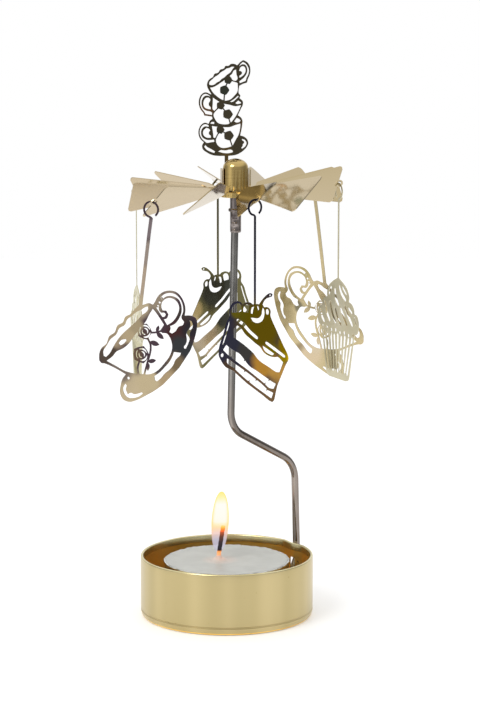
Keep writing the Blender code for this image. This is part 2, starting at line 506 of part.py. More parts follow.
def toothed(points, count, size):
    """The line with small teeth standing to its right at even distances."""
    spots = [Vector(p) for p in points]
    reach = [0]
    for before, here in zip(spots, spots[1:]):
        reach.append(reach[-1] + (here - before).length)
    centres = [reach[-1] * (k + 0.5) / count for k in range(count)]
    result = []
    for i, (before, here) in enumerate(zip(spots, spots[1:])):
        result.append(tuple(before))
        along = (here - before).normalized()
        side = Vector((along.y, -along.x))
        for centre in centres:
            if reach[i] + size < centre < reach[i + 1] - size:
                spot = before + along * (centre - reach[i])
                result += [tuple(spot - along * size / 2), tuple(spot + side * size),
                           tuple(spot + along * size / 2)]
    return result + [tuple(spots[-1])]


def plate(name, outlines, thickness, surface=None):
    """A flat sheet in XY, centred on its thickness; outlines inside another are its openings."""
    curve = bpy.data.curves.new(name, 'CURVE')
    curve.dimensions = '2D'
    curve.fill_mode = 'BOTH'
    curve.extrude = thickness / 2
    for outline in outlines:
        spline = curve.splines.new('POLY')
        spline.points.add(len(outline) - 1)
        spline.points.foreach_set("co", [c for x, y in outline for c in (x, y, 0, 1)])
        spline.use_cyclic_u = True
    drawn = linked(name, curve)
    mesh = evaluated_mesh(drawn)
    bpy.data.objects.remove(drawn, do_unlink=True)
    bpy.data.curves.remove(curve)
    return linked(name, mesh, surface)


def fused(target, pieces):
    """Union of overlapping solids in one body; the added pieces are used up."""
    for piece in pieces:
        union = target.modifiers.new("join", 'BOOLEAN')
        union.operation = 'UNION'
        union.solver = 'EXACT'
        union.object = piece
        target.data = evaluated_mesh(target)
        target.modifiers.clear()
        bpy.data.objects.remove(piece, do_unlink=True)
    body = bmesh.new()
    body.from_mesh(target.data)
    bmesh.ops.dissolve_limit(body, angle_limit=FLAT_ANGLE, verts=body.verts, edges=body.edges)
    bmesh.ops.triangulate(body, faces=body.faces)
    body.to_mesh(target.data)
    body.free()
    return target


def carved(target, cutter):
    PARTS.objects.unlink(cutter)
    CUTTERS.objects.link(cutter)
    cutter.hide_render = True
    cutter.display_type = 'WIRE'
    cut = target.modifiers.new("cut", 'BOOLEAN')
    cut.operation = 'DIFFERENCE'
    cut.solver = 'EXACT'
    cut.object = cutter
    return target


def smooth_step(value, start, end):
    t = min(max((value - start) / (end - start), 0.0), 1.0)
    return t * t * (3 - 2 * t)


def around(angle):
    """Turn that takes +X outwards and +Y along the rim at an angle from the front."""
    return Matrix.Rotation(angle - math.pi / 2, 4, 'Z')


def bent_path(points, radii, steps):
    """Straight runs between the points, with a round bend of its own radius at each inner one."""
    spots = [Vector(p) for p in points]
    path = [spots[0]]
    for before, here, after, radius in zip(spots, spots[1:], spots[2:], radii):
        into = (here - before).normalized()
        out = (after - here).normalized()
        turn = into.angle(out)
        start = here - into * radius * math.tan(turn / 2)
        side = (out - into * out.dot(into)).normalized()
        for k in range(steps + 1):
            angle = turn * k / steps
            path.append(start + side * radius * (1 - math.cos(angle)) + into * radius * math.sin(angle))
    return path + [spots[-1]]


def wire(name, path, radius, surface):
    """A round wire along the path, with flat ends."""
    curve = bpy.data.curves.new(name, 'CURVE')
    curve.dimensions = '3D'
    curve.bevel_depth = radius
    curve.bevel_resolution = 2
    curve.use_fill_caps = True
    spline = curve.splines.new('POLY')
    spline.points.add(len(path) - 1)
    spline.points.foreach_set("co", [c for p in path for c in (*p, 1)])
    drawn = linked(name, curve)
    mesh = evaluated_mesh(drawn)
    bpy.data.objects.remove(drawn, do_unlink=True)
    bpy.data.curves.remove(curve)
    mesh.shade_smooth()
    mesh.set_sharp_from_angle(angle=math.radians(50))
    return linked(name, mesh, surface)


UP = Vector((0, 0, 1))
TIN_CENTRE = Vector((TIN_OFFSET, 0, 0))
SEAT_WAY = Vector((math.cos(SEAT_ANGLE), math.sin(SEAT_ANGLE), 0))
ROD_OUTSIDE = TIN_RADIUS - DENT_DEPTH + SEAT_GAP + ROD_RADIUS
ROD_INSIDE = TIN_RADIUS - TIN_SHEET - SEAT_GAP - ROD_RADIUS


def base_tin():
    """Drawn tin: turned from its profile, dented for the rod, with a window under the dent."""
    wall = TIN_RADIUS - TIN_SHEET
    hem = wall - TIN_HEM_FOLD
    lip = TIN_SHEET / 2
    foot = TIN_RADIUS - TIN_FOOT_STEP
    round_centre = (foot - TIN_CORNER, TIN_CORNER)
    profile = [
        (0, TIN_SHEET), *arc(round_centre, TIN_CORNER - TIN_SHEET, -math.pi / 2, 0, 2),
        (wall, DENT_END_HEIGHT), (wall, DENT_FULL_HEIGHT), (wall, TIN_HEIGHT - TIN_HEM_HEIGHT),
        (hem, TIN_HEIGHT - TIN_HEM_HEIGHT), (hem, TIN_HEIGHT - lip), (hem + lip, TIN_HEIGHT),
        (TIN_RADIUS - lip, TIN_HEIGHT), (TIN_RADIUS, TIN_HEIGHT - lip), (TIN_RADIUS, DENT_FULL_HEIGHT),
        (TIN_RADIUS, DENT_END_HEIGHT), (TIN_RADIUS, TIN_FOOT_HEIGHT + TIN_FOOT_STEP),
        (foot, TIN_FOOT_HEIGHT), *arc(round_centre, TIN_CORNER, 0, -math.pi / 2, 2), (0, 0)]
    tin = turned("base_tin", profile, TIN_STEPS, BRASS_TIN)
    for vertex in tin.data.vertices:
        radius = vertex.co.xy.length
        if radius > TIN_RADIUS / 2:
            off = abs(math.atan2(vertex.co.y, vertex.co.x)) / DENT_HALF_ANGLE
            share = (1 + math.cos(math.pi * min(off, 1.0))) / 2
            depth = DENT_DEPTH * share * smooth_step(vertex.co.z, DENT_END_HEIGHT, DENT_FULL_HEIGHT)
            vertex.co.xy *= (radius - depth) / radius
    tin.location = TIN_CENTRE
    tin.rotation_euler.z = SEAT_ANGLE
    height = WINDOW_TOP - WINDOW_BOTTOM
    x, y = WINDOW_WIDTH / 2 - WINDOW_CORNER, height / 2 - WINDOW_CORNER
    outline = []
    for quarter, middle in enumerate(((x, y), (-x, y), (-x, -y), (x, -y))):
        outline += arc(middle, WINDOW_CORNER, quarter * math.pi / 2, (quarter + 1) * math.pi / 2, 3)
    window = plate("window_cutter", [outline], 2 * (TIN_SHEET + DENT_DEPTH + CUT_OVERRUN))
    window.matrix_world = (
        Matrix.Translation(TIN_CENTRE + SEAT_WAY * TIN_RADIUS + UP * (WINDOW_TOP + WINDOW_BOTTOM) / 2)
        @ Matrix.Rotation(SEAT_ANGLE + math.pi / 2, 4, 'Z') @ Matrix.Rotation(math.pi / 2, 4, 'X'))
    return carved(tin, window)


def stand_rod():
    """Wire: foot inside the tin, out through the window, up behind the dent, over to the axis."""
    inside = TIN_CENTRE + SEAT_WAY * ROD_INSIDE
    outside = TIN_CENTRE + SEAT_WAY * ROD_OUTSIDE
    points = [
        inside + UP * (TIN_SHEET + SEAT_GAP), inside + UP * ROD_JOGGLE_BOTTOM, outside + UP * ROD_JOGGLE_TOP,
        outside + UP * ROD_ELBOW_HEIGHT, UP * ROD_SHOULDER_HEIGHT, UP * ROD_TOP]
    radii = (ROD_JOGGLE_BEND, ROD_JOGGLE_BEND, ROD_ELBOW_BEND, ROD_SHOULDER_BEND)
    return wire("stand_rod", bent_path(points, radii, ROD_BEND_STEPS), ROD_RADIUS, STEEL_WIRE)


def pivot_sleeve():
    """Turned sleeve on the rod's end, with a collar, bored for the rod below and the needle above."""
    rod_bore = ROD_RADIUS + BORE_GAP
    needle_bore = NEEDLE_RADIUS + BORE_GAP
    ledge = ROD_TOP + SEAT_GAP
    collar = SLEEVE_BOTTOM + SLEEVE_COLLAR_RISE
    collar_top = collar + SLEEVE_COLLAR_HEIGHT
    profile = [
        (needle_bore, SLEEVE_TOP), (SLEEVE_RADIUS - SLEEVE_CHAMFER, SLEEVE_TOP),
        (SLEEVE_RADIUS, SLEEVE_TOP - SLEEVE_CHAMFER), (SLEEVE_RADIUS, collar_top),
        (SLEEVE_COLLAR_RADIUS, collar_top - SLEEVE_CHAMFER),
        (SLEEVE_COLLAR_RADIUS, collar + SLEEVE_CHAMFER), (SLEEVE_RADIUS, collar),
        (SLEEVE_RADIUS, SLEEVE_BOTTOM), (rod_bore, SLEEVE_BOTTOM), (rod_bore, ledge), (needle_bore, ledge)]
    return turned("pivot_sleeve", profile, TURN_STEPS, NICKEL)


def pivot_needle():
    """Pointed pin in the sleeve's upper bore; its tip carries the whole rotor."""
    foot = ROD_TOP + SEAT_GAP
    profile = [
        (0, NEEDLE_TIP), (NEEDLE_POINT_RADIUS, NEEDLE_TIP - NEEDLE_POINT_RADIUS),
        (NEEDLE_RADIUS, NEEDLE_TIP - NEEDLE_CONE), (NEEDLE_RADIUS, foot), (0, foot)]
    return turned("pivot_needle", profile, TURN_STEPS // 2, STEEL_WIRE)


CAP_APEX = NEEDLE_TIP + SEAT_GAP
HUB_BOTTOM = CAP_TOP - CAP_DOME - FINGER_HEIGHT
HUB_MIDDLE = HUB_BOTTOM + ROTOR_SHEET / 2
HUB_HOLE = CAP_RADIUS + SEAT_GAP


def bearing_cap():
    """Turned bell with a flange under the hub and a conical seat inside, over the needle."""
    bore = CAP_RADIUS - CAP_WALL
    flange_top = HUB_BOTTOM - SEAT_GAP
    bottom = flange_top - CAP_FLANGE_HEIGHT
    dome = [(CAP_RADIUS * math.sin(a), CAP_TOP - CAP_DOME + CAP_DOME * math.cos(a))
            for a in (math.pi / 2 * k / 5 for k in range(6))]
    profile = dome + [
        (CAP_RADIUS, flange_top), (CAP_FLANGE_RADIUS, flange_top), (CAP_FLANGE_RADIUS, bottom),
        (bore, bottom), (bore, CAP_APEX - CAP_SEAT_CONE), (0, CAP_APEX)]
    return turned("bearing_cap", profile, TURN_STEPS, BRASS_TURNED)


def vane(with_ear):
    """One vane along +X: neck, wedge and ear, twisted about its own middle line at the neck."""
    root = HUB_RADIUS - HUB_BITE
    slope = VANE_HALF_WIDTH / VANE_REACH
    right = [(root, -NECK_HALF_WIDTH), (NECK_END, -NECK_HALF_WIDTH), (NECK_FLARE, -slope * NECK_FLARE)]
    right += arc((VANE_REACH - VANE_CORNER, VANE_CORNER - VANE_HALF_WIDTH), VANE_CORNER,
                 math.atan(slope) - math.pi / 2, 0, 2)
    ear, openings = [], []
    if with_ear:
        half = math.acos((VANE_REACH - EAR_PLACE) / EAR_RADIUS)
        ear = arc((EAR_PLACE, 0), EAR_RADIUS, -half, half, 6)
        openings = [circle((EAR_PLACE, 0), EAR_HOLE_RADIUS, 10)]
    left = [(x, -y) for x, y in reversed(right)]
    blank = plate("vane", [right + ear + left] + openings, ROTOR_SHEET)
    body = bmesh.new()
    body.from_mesh(blank.data)
    for row in range(NECK_ROWS + 1):
        place = NECK_START + (NECK_END - NECK_START) * row / NECK_ROWS
        bmesh.ops.bisect_plane(body, geom=body.verts[:] + body.edges[:] + body.faces[:],
                               plane_co=(place, 0, 0), plane_no=(1, 0, 0))
    for vertex in body.verts:
        angle = VANE_TWIST * smooth_step(vertex.co.x, NECK_START, NECK_END)
        vertex.co = Matrix.Rotation(angle, 3, 'X') @ vertex.co
    body.to_mesh(blank.data)
    body.free()
    return blank


def vane_rise(number, reach):
    """Height of a vane over the hub's level at a reach: it grows evenly from the neck to the tip."""
    return VANE_RISES[number] * max(0, reach - NECK_START) / (VANE_REACH - NECK_START)


def rotor_wheel():
    """Stamped sheet: hub ring, twelve twisted vanes, an ear on every other one, three fingers."""
    hub = plate("rotor_wheel", [circle((0, 0), HUB_RADIUS, 30), circle((0, 0), HUB_HOLE, 24)],
                ROTOR_SHEET, BRASS_SHEET)
    blanks = vane(True), vane(False)
    pieces = []
    for number in range(VANE_COUNT):
        piece = linked("vane", blanks[number % 2].data.copy())
        for vertex in piece.data.vertices:
            vertex.co.z += vane_rise(number, vertex.co.x)
        piece.data.transform(around(VANE_FIRST + 2 * math.pi * number / VANE_COUNT))
        pieces.append(piece)
    for blank in blanks:
        bpy.data.objects.remove(blank, do_unlink=True)
    half, corner = FINGER_WIDTH / 2, FINGER_WIDTH / 4
    outline = [
        (-half, 0), (half, 0), *arc((half - corner, FINGER_HEIGHT - corner), corner, 0, math.pi / 2, 2),
        *arc((corner - half, FINGER_HEIGHT - corner), corner, math.pi / 2, math.pi, 2)]
    for angle in FINGER_ANGLES:
        finger = plate("finger", [outline], ROTOR_SHEET)
        finger.data.transform(
            around(angle) @ Matrix.Translation((HUB_HOLE + ROTOR_SHEET / 2, 0, -ROTOR_SHEET / 2))
            @ Matrix.Rotation(math.pi / 2, 4, 'Z') @ Matrix.Rotation(math.pi / 2, 4, 'X'))
        pieces.append(finger)
    wheel = fused(hub, pieces)
    wheel.location.z = HUB_MIDDLE
    return wheel


def placer(size, stem_share, stem_foot):
    """A function that turns shares into metres, with the stem's foot at its place."""
    left = stem_foot[0] - stem_share[0] * size[0]
    low = stem_foot[1] - stem_share[1] * size[1]
    return lambda shares: [(left + p[0] * size[0], low + p[1] * size[1], *p[2:]) for p in shares]


def hooked(body, stem_foot):
    """Close a body's outline with its stem and its open hook ring.

    The ring lies with its inner top half a seat gap above the hinge line, which is the origin."""
    inner = RING_RADIUS - RING_STRIP
    centre = SEAT_GAP / 2 - inner
    half = STEM_WIDTH / 2
    start = math.asin(half / RING_RADIUS)
    steps = 11
    angles = [start + (RING_END - start) * k / steps for k in range(steps + 1)]
    outer = [(-RING_RADIUS * math.sin(a), centre - RING_RADIUS * math.cos(a)) for a in angles]
    back = [(-inner * math.sin(a), centre - inner * math.cos(a)) for a in reversed(angles)]
    neck = (half, centre - RING_RADIUS * math.cos(start))
    return [(stem_foot[0] + half, stem_foot[1]), *body, (stem_foot[0] - half, stem_foot[1]),
            *outer, *back, neck]


def rose(centre, radius, thickness):
    """A disc with five soft petals and one spiral slot."""
    petals, spiral = [], []
    for k in range(10):
        angle = 2 * math.pi * k / 10
        reach = radius * (1 + ROSE_WAVE_SHARE * math.cos(5 * angle))
        petals.append((centre[0] + reach * math.cos(angle), centre[1] + reach * math.sin(angle)))
    for k in range(7):
        angle = 2 * math.pi * ROSE_TURNS * k / 6
        reach = radius * (ROSE_START_SHARE + ROSE_SPREAD_SHARE * k / 6)
        spiral.append((centre[0] + reach * math.cos(angle), centre[1] + reach * math.sin(angle)))
    return plate("rose", [petals, strip(spiral, radius * ROSE_SLOT_SHARE, 0.7)], thickness)


def teacup():
    """Teacup with a wavy rim, tilted on its saucer; two roses stand in its open body."""
    foot = (-TEACUP_LEAN, -TEACUP_DROP)
    at = placer(TEACUP_SIZE, TEACUP_STEM_SHARE, foot)
    openings = [
        flow(at(TEACUP_WINDOW_SHARES), 1), flow(at(TEACUP_RIM_SHARES), 1), flow(at(TEACUP_HANDLE_SHARES), 1),
        flow(at(TEACUP_CHANNEL_SHARES), 1), flow(at(TEACUP_CURL_SHARES), 1), flow(at(TEACUP_SAUCER_SHARES), 1),
        flow(at(TEACUP_GLINT_SHARES), 1), flow(at(TEACUP_FOOT_GLINT_SHARES), 1),
        flow(at(TEACUP_LENS_SHARES), 1), circle(at([TEACUP_PIP_SHARE])[0], TEACUP_PIP_RADIUS, 6)]
    body = flow(at(TEACUP_BODY_SHARES), 1, closed=False)
    sheet = plate("teacup", [hooked(body, foot), *openings], CHARM_SHEET)
    pieces = [rose(at([share])[0], size * TEACUP_SIZE[0], CHARM_SHEET) for share, size in TEACUP_ROSE_SHARES]
    pieces += [plate("twig", [strip(flow(at(twig), 2, closed=False), LINE_WIDTH)], CHARM_SHEET)
               for twig in TEACUP_TWIG_SHARES]
    pieces += [plate("leaf", [leaf(*at(pair))], CHARM_SHEET) for pair in TEACUP_LEAF_SHARES]
    return fused(sheet, pieces)


def cake():
    """Slice of layer cake with cream puffs and a cherry on a stalk."""
    foot = (0, -CAKE_DROP)
    at = placer(CAKE_SIZE, CAKE_STEM_SHARE, foot)
    openings = [flow(at(CAKE_CREAM_SHARES), 1), flow(at(CAKE_LENS_SHARES), 1)]
    openings += [circle(at([share])[0], size * CAKE_SIZE[0], 6) for share, size in CAKE_HOLE_SHARES]
    openings += [strip(at(line), width, 0.6) for line, width in CAKE_SLOTS]
    openings += [flow(at(shares), 1) for shares in CAKE_ARCH_SHARES + CAKE_CRESCENT_SHARES]
    for upper, lower in (CAKE_LAYER_SHARES, CAKE_CRUMB_SHARES):
        edge = toothed(at(upper), CAKE_TEETH, CAKE_TOOTH)
        openings.append(edge + toothed(at(lower[::-1]), CAKE_TEETH - 1, CAKE_TOOTH))
    body = flow(at(CAKE_BODY_SHARES), 1, closed=False)
    return plate("cake", [hooked(body, foot), *openings], CHARM_SHEET)


def cupcake():
    """Cupcake: three swirls of cream with slanting slots over a pleated paper cup."""
    foot = (0, -CUPCAKE_DROP)
    half_size = (CUPCAKE_SIZE[0] / 2, CUPCAKE_SIZE[1])
    at = placer(half_size, (0, CUPCAKE_STEM_SHARE[1]), foot)
    right = flow(at(CUPCAKE_HALF_SHARES), 1, closed=False)
    body = right + [(-x, y) for x, y in reversed(right)]
    openings = [strip(at(line), width, 0.5) for line, width in CUPCAKE_SLOTS]
    for k in range(CUPCAKE_DOTS):
        across = CUPCAKE_DOT_SPAN_SHARE * (2 * k / (CUPCAKE_DOTS - 1) - 1)
        up = CUPCAKE_BAND_SHARES[k % 2] + CUPCAKE_BAND_SAG_SHARE * (across**2 + across)
        openings.append(circle(at([(across, up)])[0], CUPCAKE_DOT_RADIUS, 6))
    for k in range(CUPCAKE_PLEATS):
        across = 2 * k / (CUPCAKE_PLEATS - 1) - 1
        step = CUPCAKE_PLEAT_STEP_SHARES[k % 2]
        top = (CUPCAKE_PLEAT_TOP_SHARES[0] * across, CUPCAKE_PLEAT_TOP_SHARES[1] - step)
        low = (CUPCAKE_PLEAT_BOTTOM_SHARES[0] * across, CUPCAKE_PLEAT_BOTTOM_SHARES[1] + step)
        openings.append(strip(at([top, low]), CUPCAKE_PLEAT_WIDTH))
    return plate("cupcake", [hooked(body, foot), *openings], CHARM_SHEET)


def hook_point(number, turn):
    """Where a charm's ring hangs in the ear of its vane.

    A ring whose plane is turned from the rim slides along the ear's hole to the edge point
    that lies lowest in that plane. The hinge line is half a seat gap above that point."""
    way = Vector((math.sin(turn), -math.cos(turn) / math.cos(VANE_TWIST), 0)).normalized()
    flat = Vector((EAR_PLACE, 0, 0)) + way * EAR_HOLE_RADIUS + UP * ROTOR_SHEET / 2
    angle = VANE_FIRST + 2 * math.pi * number / VANE_COUNT
    tilted = Matrix.Rotation(VANE_TWIST, 4, 'X') @ flat
    level = HUB_MIDDLE + SEAT_GAP / 2 + vane_rise(number, tilted.x)
    return around(angle) @ tilted + UP * level, angle + turn


def hang_charms():
    shapes = {"teacup": teacup(), "cake": cake(), "cupcake": cupcake()}
    for name, shape, number, turn in CHARMS:
        place, angle = hook_point(number, turn)
        charm = linked(name, shapes[shape].data.copy(), BRASS_SHEET)
        charm.matrix_world = (Matrix.Translation(place) @ Matrix.Rotation(angle, 4, 'Z')
                              @ Matrix.Rotation(math.pi / 2, 4, 'X'))
    for shape in shapes.values():
        bpy.data.objects.remove(shape, do_unlink=True)


def topper():
    """Three stacked teacups on a saucer, cut from one sheet and standing on the hub."""
    half = TOPPER_STEM_WIDTH / 2
    at = placer(TOPPER_SIZE, TOPPER_STEM_SHARE, (0, 0))
    body = flow(at(TOPPER_BODY_SHARES), 1, closed=False)
    drop = HUB_BOTTOM + ROTOR_SHEET + SEAT_GAP - TOPPER_BOTTOM
    outline = [(half, drop), (half, 0), *body, (-half, 0), (-half, drop)]
    openings = [flow(at(shares), 1) for shares in TOPPER_OPENING_SHARES]
    sheet = plate("topper", [outline, *openings], TOPPER_SHEET, BRASS_TURNED)
    pieces = [rose(at([share])[0], size * TOPPER_SIZE[0], TOPPER_SHEET) for share, size in TOPPER_ROSE_SHARES]
    pieces += [plate("twig", [strip(at(twig), TOPPER_LINE_WIDTH)], TOPPER_SHEET)
               for twig in TOPPER_TWIG_SHARES]
    fused(sheet, pieces)
    sheet.matrix_world = (Matrix.Translation((*TOPPER_PLACE, TOPPER_BOTTOM))
                          @ Matrix.Rotation(math.pi / 2, 4, 'X'))
    return sheet


CANDLE_FLOOR = TIN_SHEET + SEAT_GAP
CANDLE_BORE = CANDLE_RADIUS - CANDLE_BEAD - CANDLE_SHEET
WAX_BOTTOM = CANDLE_FLOOR + CANDLE_SHEET + SEAT_GAP
WAX_TOP = CANDLE_FLOOR + CANDLE_HEIGHT - WAX_BELOW_RIM
WICK_CENTRE = TIN_CENTRE + Vector((WICK_OFFSET, 0, 0))
NECK_BORE = WICK_RADIUS + BORE_GAP
NECK_RADIUS = NECK_BORE + FOOT_NECK_WALL


def tealight_cup():
    """Drawn aluminium cup with a small bead round its rim."""
    rim = CANDLE_FLOOR + CANDLE_HEIGHT
    outer = CANDLE_RADIUS - CANDLE_BEAD
    round_centre = (outer - CANDLE_CORNER, CANDLE_FLOOR + CANDLE_CORNER)
    profile = [
        (0, CANDLE_FLOOR + CANDLE_SHEET), *arc(round_centre, CANDLE_CORNER - CANDLE_SHEET, -math.pi / 2, 0, 2),
        (CANDLE_BORE, rim), (CANDLE_RADIUS, rim), (CANDLE_RADIUS, rim - CANDLE_BEAD),
        (outer, rim - 2 * CANDLE_BEAD), *arc(round_centre, CANDLE_CORNER, 0, -math.pi / 2, 2),
        (0, CANDLE_FLOOR)]
    cup = turned("tealight_cup", profile, CANDLE_STEPS, ALUMINIUM)
    cup.location = TIN_CENTRE
    return cup


def tealight_wax():
    """Wax block with a low mound at the wick, hollowed underneath for the wick's foot."""
    radius = CANDLE_BORE - SEAT_GAP
    wax = turned("tealight_wax", [
        (0, WAX_TOP), (radius - SEAT_GAP, WAX_TOP), (radius, WAX_TOP - SEAT_GAP),
        (radius, WAX_BOTTOM + CANDLE_CORNER), (radius - CANDLE_CORNER, WAX_BOTTOM), (0, WAX_BOTTOM)],
        CANDLE_STEPS, WAX)
    slope = [(across * MOUND_RADIUS, WAX_TOP + up * MOUND_RISE) for across, up in MOUND_PROFILE_SHARES]
    mound = turned("mound", slope + [(MOUND_RADIUS, WAX_TOP - MOUND_BITE), (0, WAX_TOP - MOUND_BITE)],
                   TURN_STEPS, WAX)
    mound.location = (WICK_OFFSET, 0, 0)
    fused(wax, [mound])
    wax.location = TIN_CENTRE
    top = WAX_TOP + MOUND_RISE + CUT_OVERRUN
    low = WAX_BOTTOM - CUT_OVERRUN
    ceiling = WAX_BOTTOM + FOOT_SHEET + SEAT_GAP
    shoulder = WAX_BOTTOM + FOOT_NECK_HEIGHT + SEAT_GAP
    hollow = turned("wax_cutter", [
        (0, top), (NECK_BORE, top), (NECK_BORE, shoulder), (NECK_RADIUS + SEAT_GAP, shoulder),
        (NECK_RADIUS + SEAT_GAP, ceiling), (FOOT_RADIUS + SEAT_GAP, ceiling), (FOOT_RADIUS + SEAT_GAP, low),
        (0, low)], TURN_STEPS, None)
    hollow.location = WICK_CENTRE
    return carved(wax, hollow)


def wick_foot():
    """Pressed disc with a short neck that keeps the wick upright."""
    top = WAX_BOTTOM + FOOT_NECK_HEIGHT
    step = WAX_BOTTOM + FOOT_SHEET
    foot = turned("wick_foot", [
        (NECK_BORE, top), (NECK_RADIUS, top), (NECK_RADIUS, step), (FOOT_RADIUS, step),
        (FOOT_RADIUS, WAX_BOTTOM), (NECK_BORE, WAX_BOTTOM)], TURN_STEPS, ALUMINIUM)
    foot.location = WICK_CENTRE
    return foot


def wick():
    """Cotton wick: upright through the wax, leaning over above it."""
    bend = WAX_TOP + MOUND_RISE + WICK_STRAIGHT
    points = [UP * WAX_BOTTOM, UP * bend, Vector((WICK_LEAN, 0, WAX_TOP + WICK_RISE))]
    thread = wire("wick", bent_path(points, (WICK_BEND,), 3), WICK_RADIUS, COTTON)
    thread.location = WICK_CENTRE
    return thread


base_tin()
stand_rod()
pivot_sleeve()
pivot_needle()
bearing_cap()
rotor_wheel()
hang_charms()
topper()
tealight_cup()
tealight_wax()
wick_foot()
wick()
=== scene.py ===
# %% [markdown]
# # A candle carousel
# A tealight stands in a small brass-coloured tin. Its warm air turns a rotor of twisted vanes that
# rests on a needle, and thin metal charms hang from the vanes. The first cell loads the fixed
# frame: the CAD model with its bodies and joints. Every piece made below has to fit it.

import bmesh
import bpy
import numpy as np
from mathutils import Matrix, Vector


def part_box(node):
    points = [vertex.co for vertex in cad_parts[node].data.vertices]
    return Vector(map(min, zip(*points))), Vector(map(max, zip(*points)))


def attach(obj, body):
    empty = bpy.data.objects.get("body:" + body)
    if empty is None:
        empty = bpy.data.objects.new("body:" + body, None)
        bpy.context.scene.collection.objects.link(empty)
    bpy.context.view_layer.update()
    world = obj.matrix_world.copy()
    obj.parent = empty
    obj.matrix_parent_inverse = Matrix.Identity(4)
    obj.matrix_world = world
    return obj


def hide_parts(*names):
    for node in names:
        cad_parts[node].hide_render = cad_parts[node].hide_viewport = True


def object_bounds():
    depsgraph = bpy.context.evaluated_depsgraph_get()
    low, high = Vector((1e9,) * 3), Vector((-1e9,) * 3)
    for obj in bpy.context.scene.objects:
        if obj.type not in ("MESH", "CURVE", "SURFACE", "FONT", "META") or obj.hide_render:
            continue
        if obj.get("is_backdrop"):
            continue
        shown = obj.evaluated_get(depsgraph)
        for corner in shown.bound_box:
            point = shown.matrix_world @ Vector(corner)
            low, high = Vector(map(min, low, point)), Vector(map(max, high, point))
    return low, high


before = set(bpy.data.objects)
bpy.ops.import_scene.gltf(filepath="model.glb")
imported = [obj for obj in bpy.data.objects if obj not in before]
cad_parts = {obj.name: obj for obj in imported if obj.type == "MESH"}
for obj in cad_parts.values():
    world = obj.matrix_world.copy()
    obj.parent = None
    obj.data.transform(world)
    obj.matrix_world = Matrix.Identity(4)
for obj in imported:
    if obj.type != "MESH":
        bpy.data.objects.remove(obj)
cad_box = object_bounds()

MM = 0.001
WELD = 0.002 * MM
UP = np.array([0.0, 0.0, 1.0])

# %% [markdown]
# ## Where things are
# The tin isn't centred under the rotor, so its middle is read from the frame's box. Lengths below
# are written in millimetres and turned into metres at once, because that is how a maker would
# measure this object.

# %% Middles of the tin and the wick
tin_low, tin_high = (np.array(corner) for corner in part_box("base_tin"))
tin_centre = np.array([*((tin_low + tin_high) / 2)[:2], 0.0])
foot_low, foot_high = (np.array(corner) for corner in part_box("wick_foot"))
wick_centre = np.array([*((foot_low + foot_high) / 2)[:2], 0.0])
print("tin centre in mm:", tin_centre / MM, "wick at", wick_centre / MM)

# %% [markdown]
# ## Surfaces from arrays
# A drawn tin, a turned cap or a bent wire is a surface with two parameters: one along a profile
# or a path, one around it. So one helper turns a grid of points into faces. The grid's rows and
# columns can close on themselves, and doubled points, such as a pole, are merged afterwards.

# %% Turn a grid of points into a mesh piece
def piece_from_mesh(name, mesh, body, *materials):
    """Link a mesh as a piece that rides on a body; its place stays in its vertices."""
    piece = bpy.data.objects.new(name, mesh)
    bpy.context.scene.collection.objects.link(piece)
    for surface in materials:
        mesh.materials.append(surface)
    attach(piece, body)
    return piece


def faces_of_grid(rows, columns, close_rows, close_columns):
    """Quads (i, j), (i, j+1), (i+1, j+1), (i+1, j), with indices taken round at closed ends."""
    i, j = np.meshgrid(np.arange(rows if close_rows else rows - 1),
                       np.arange(columns if close_columns else columns - 1), indexing="ij")
    below, beside = (i + 1) % rows, (j + 1) % columns
    return np.stack([i * columns + j, i * columns + beside, below * columns + beside,
                     below * columns + j], axis=-1)


def cleaned(mesh, weld=WELD, sharp_degrees=35.0):
    """The mesh with doubles merged, normals outwards, smooth but for edges over an angle."""
    shape = bmesh.new()
    shape.from_mesh(mesh)
    bmesh.ops.remove_doubles(shape, verts=shape.verts, dist=weld)
    bmesh.ops.dissolve_degenerate(shape, edges=shape.edges, dist=weld)
    bmesh.ops.recalc_face_normals(shape, faces=shape.faces)
    shape.to_mesh(mesh)
    shape.free()
    mesh.shade_smooth()
    mesh.set_sharp_from_angle(angle=np.radians(sharp_degrees))
    return mesh


def mesh_from_arrays(name, points, faces, sharp_degrees=35.0):
    """A cleaned mesh from an array of points and an array of quads."""
    mesh = bpy.data.meshes.new(name)
    mesh.from_pydata(points.reshape(-1, 3).tolist(), [], faces.reshape(-1, 4).tolist())
    return cleaned(mesh, sharp_degrees=sharp_degrees)


def grid_piece(name, points, body, material, sharp_degrees=35.0, close_rows=False):
    """A piece from a grid of points (rows, columns, 3) whose columns close round it."""
    faces = faces_of_grid(*points.shape[:2], close_rows, True)
    mesh = mesh_from_arrays(name, points, faces, sharp_degrees)
    return piece_from_mesh(name, mesh, body, material)


print("quads on a 3 by 4 grid with closed columns:", faces_of_grid(3, 4, False, True).size // 4)

# %% [markdown]
# ## Colours and shader nodes
# Colours are written as the sRGB values that one would pick from a swatch. Blender's shaders
# count light linearly, so one function converts them. Two more small functions add any node with
# its settings and plug its inputs, which keeps each material short and readable.

# %% Colour and node helpers
def linear(code):
    """Linear RGBA of a hex colour: c / 12.92 below 0.04045, else ((c + 0.055) / 1.055) ^ 2.4."""
    c = np.array([int(code[k:k + 2], 16) / 255 for k in (0, 2, 4)])
    c = np.where(c <= 0.04045, c / 12.92, ((c + 0.055) / 1.055) ** 2.4)
    return (*c.tolist(), 1.0)


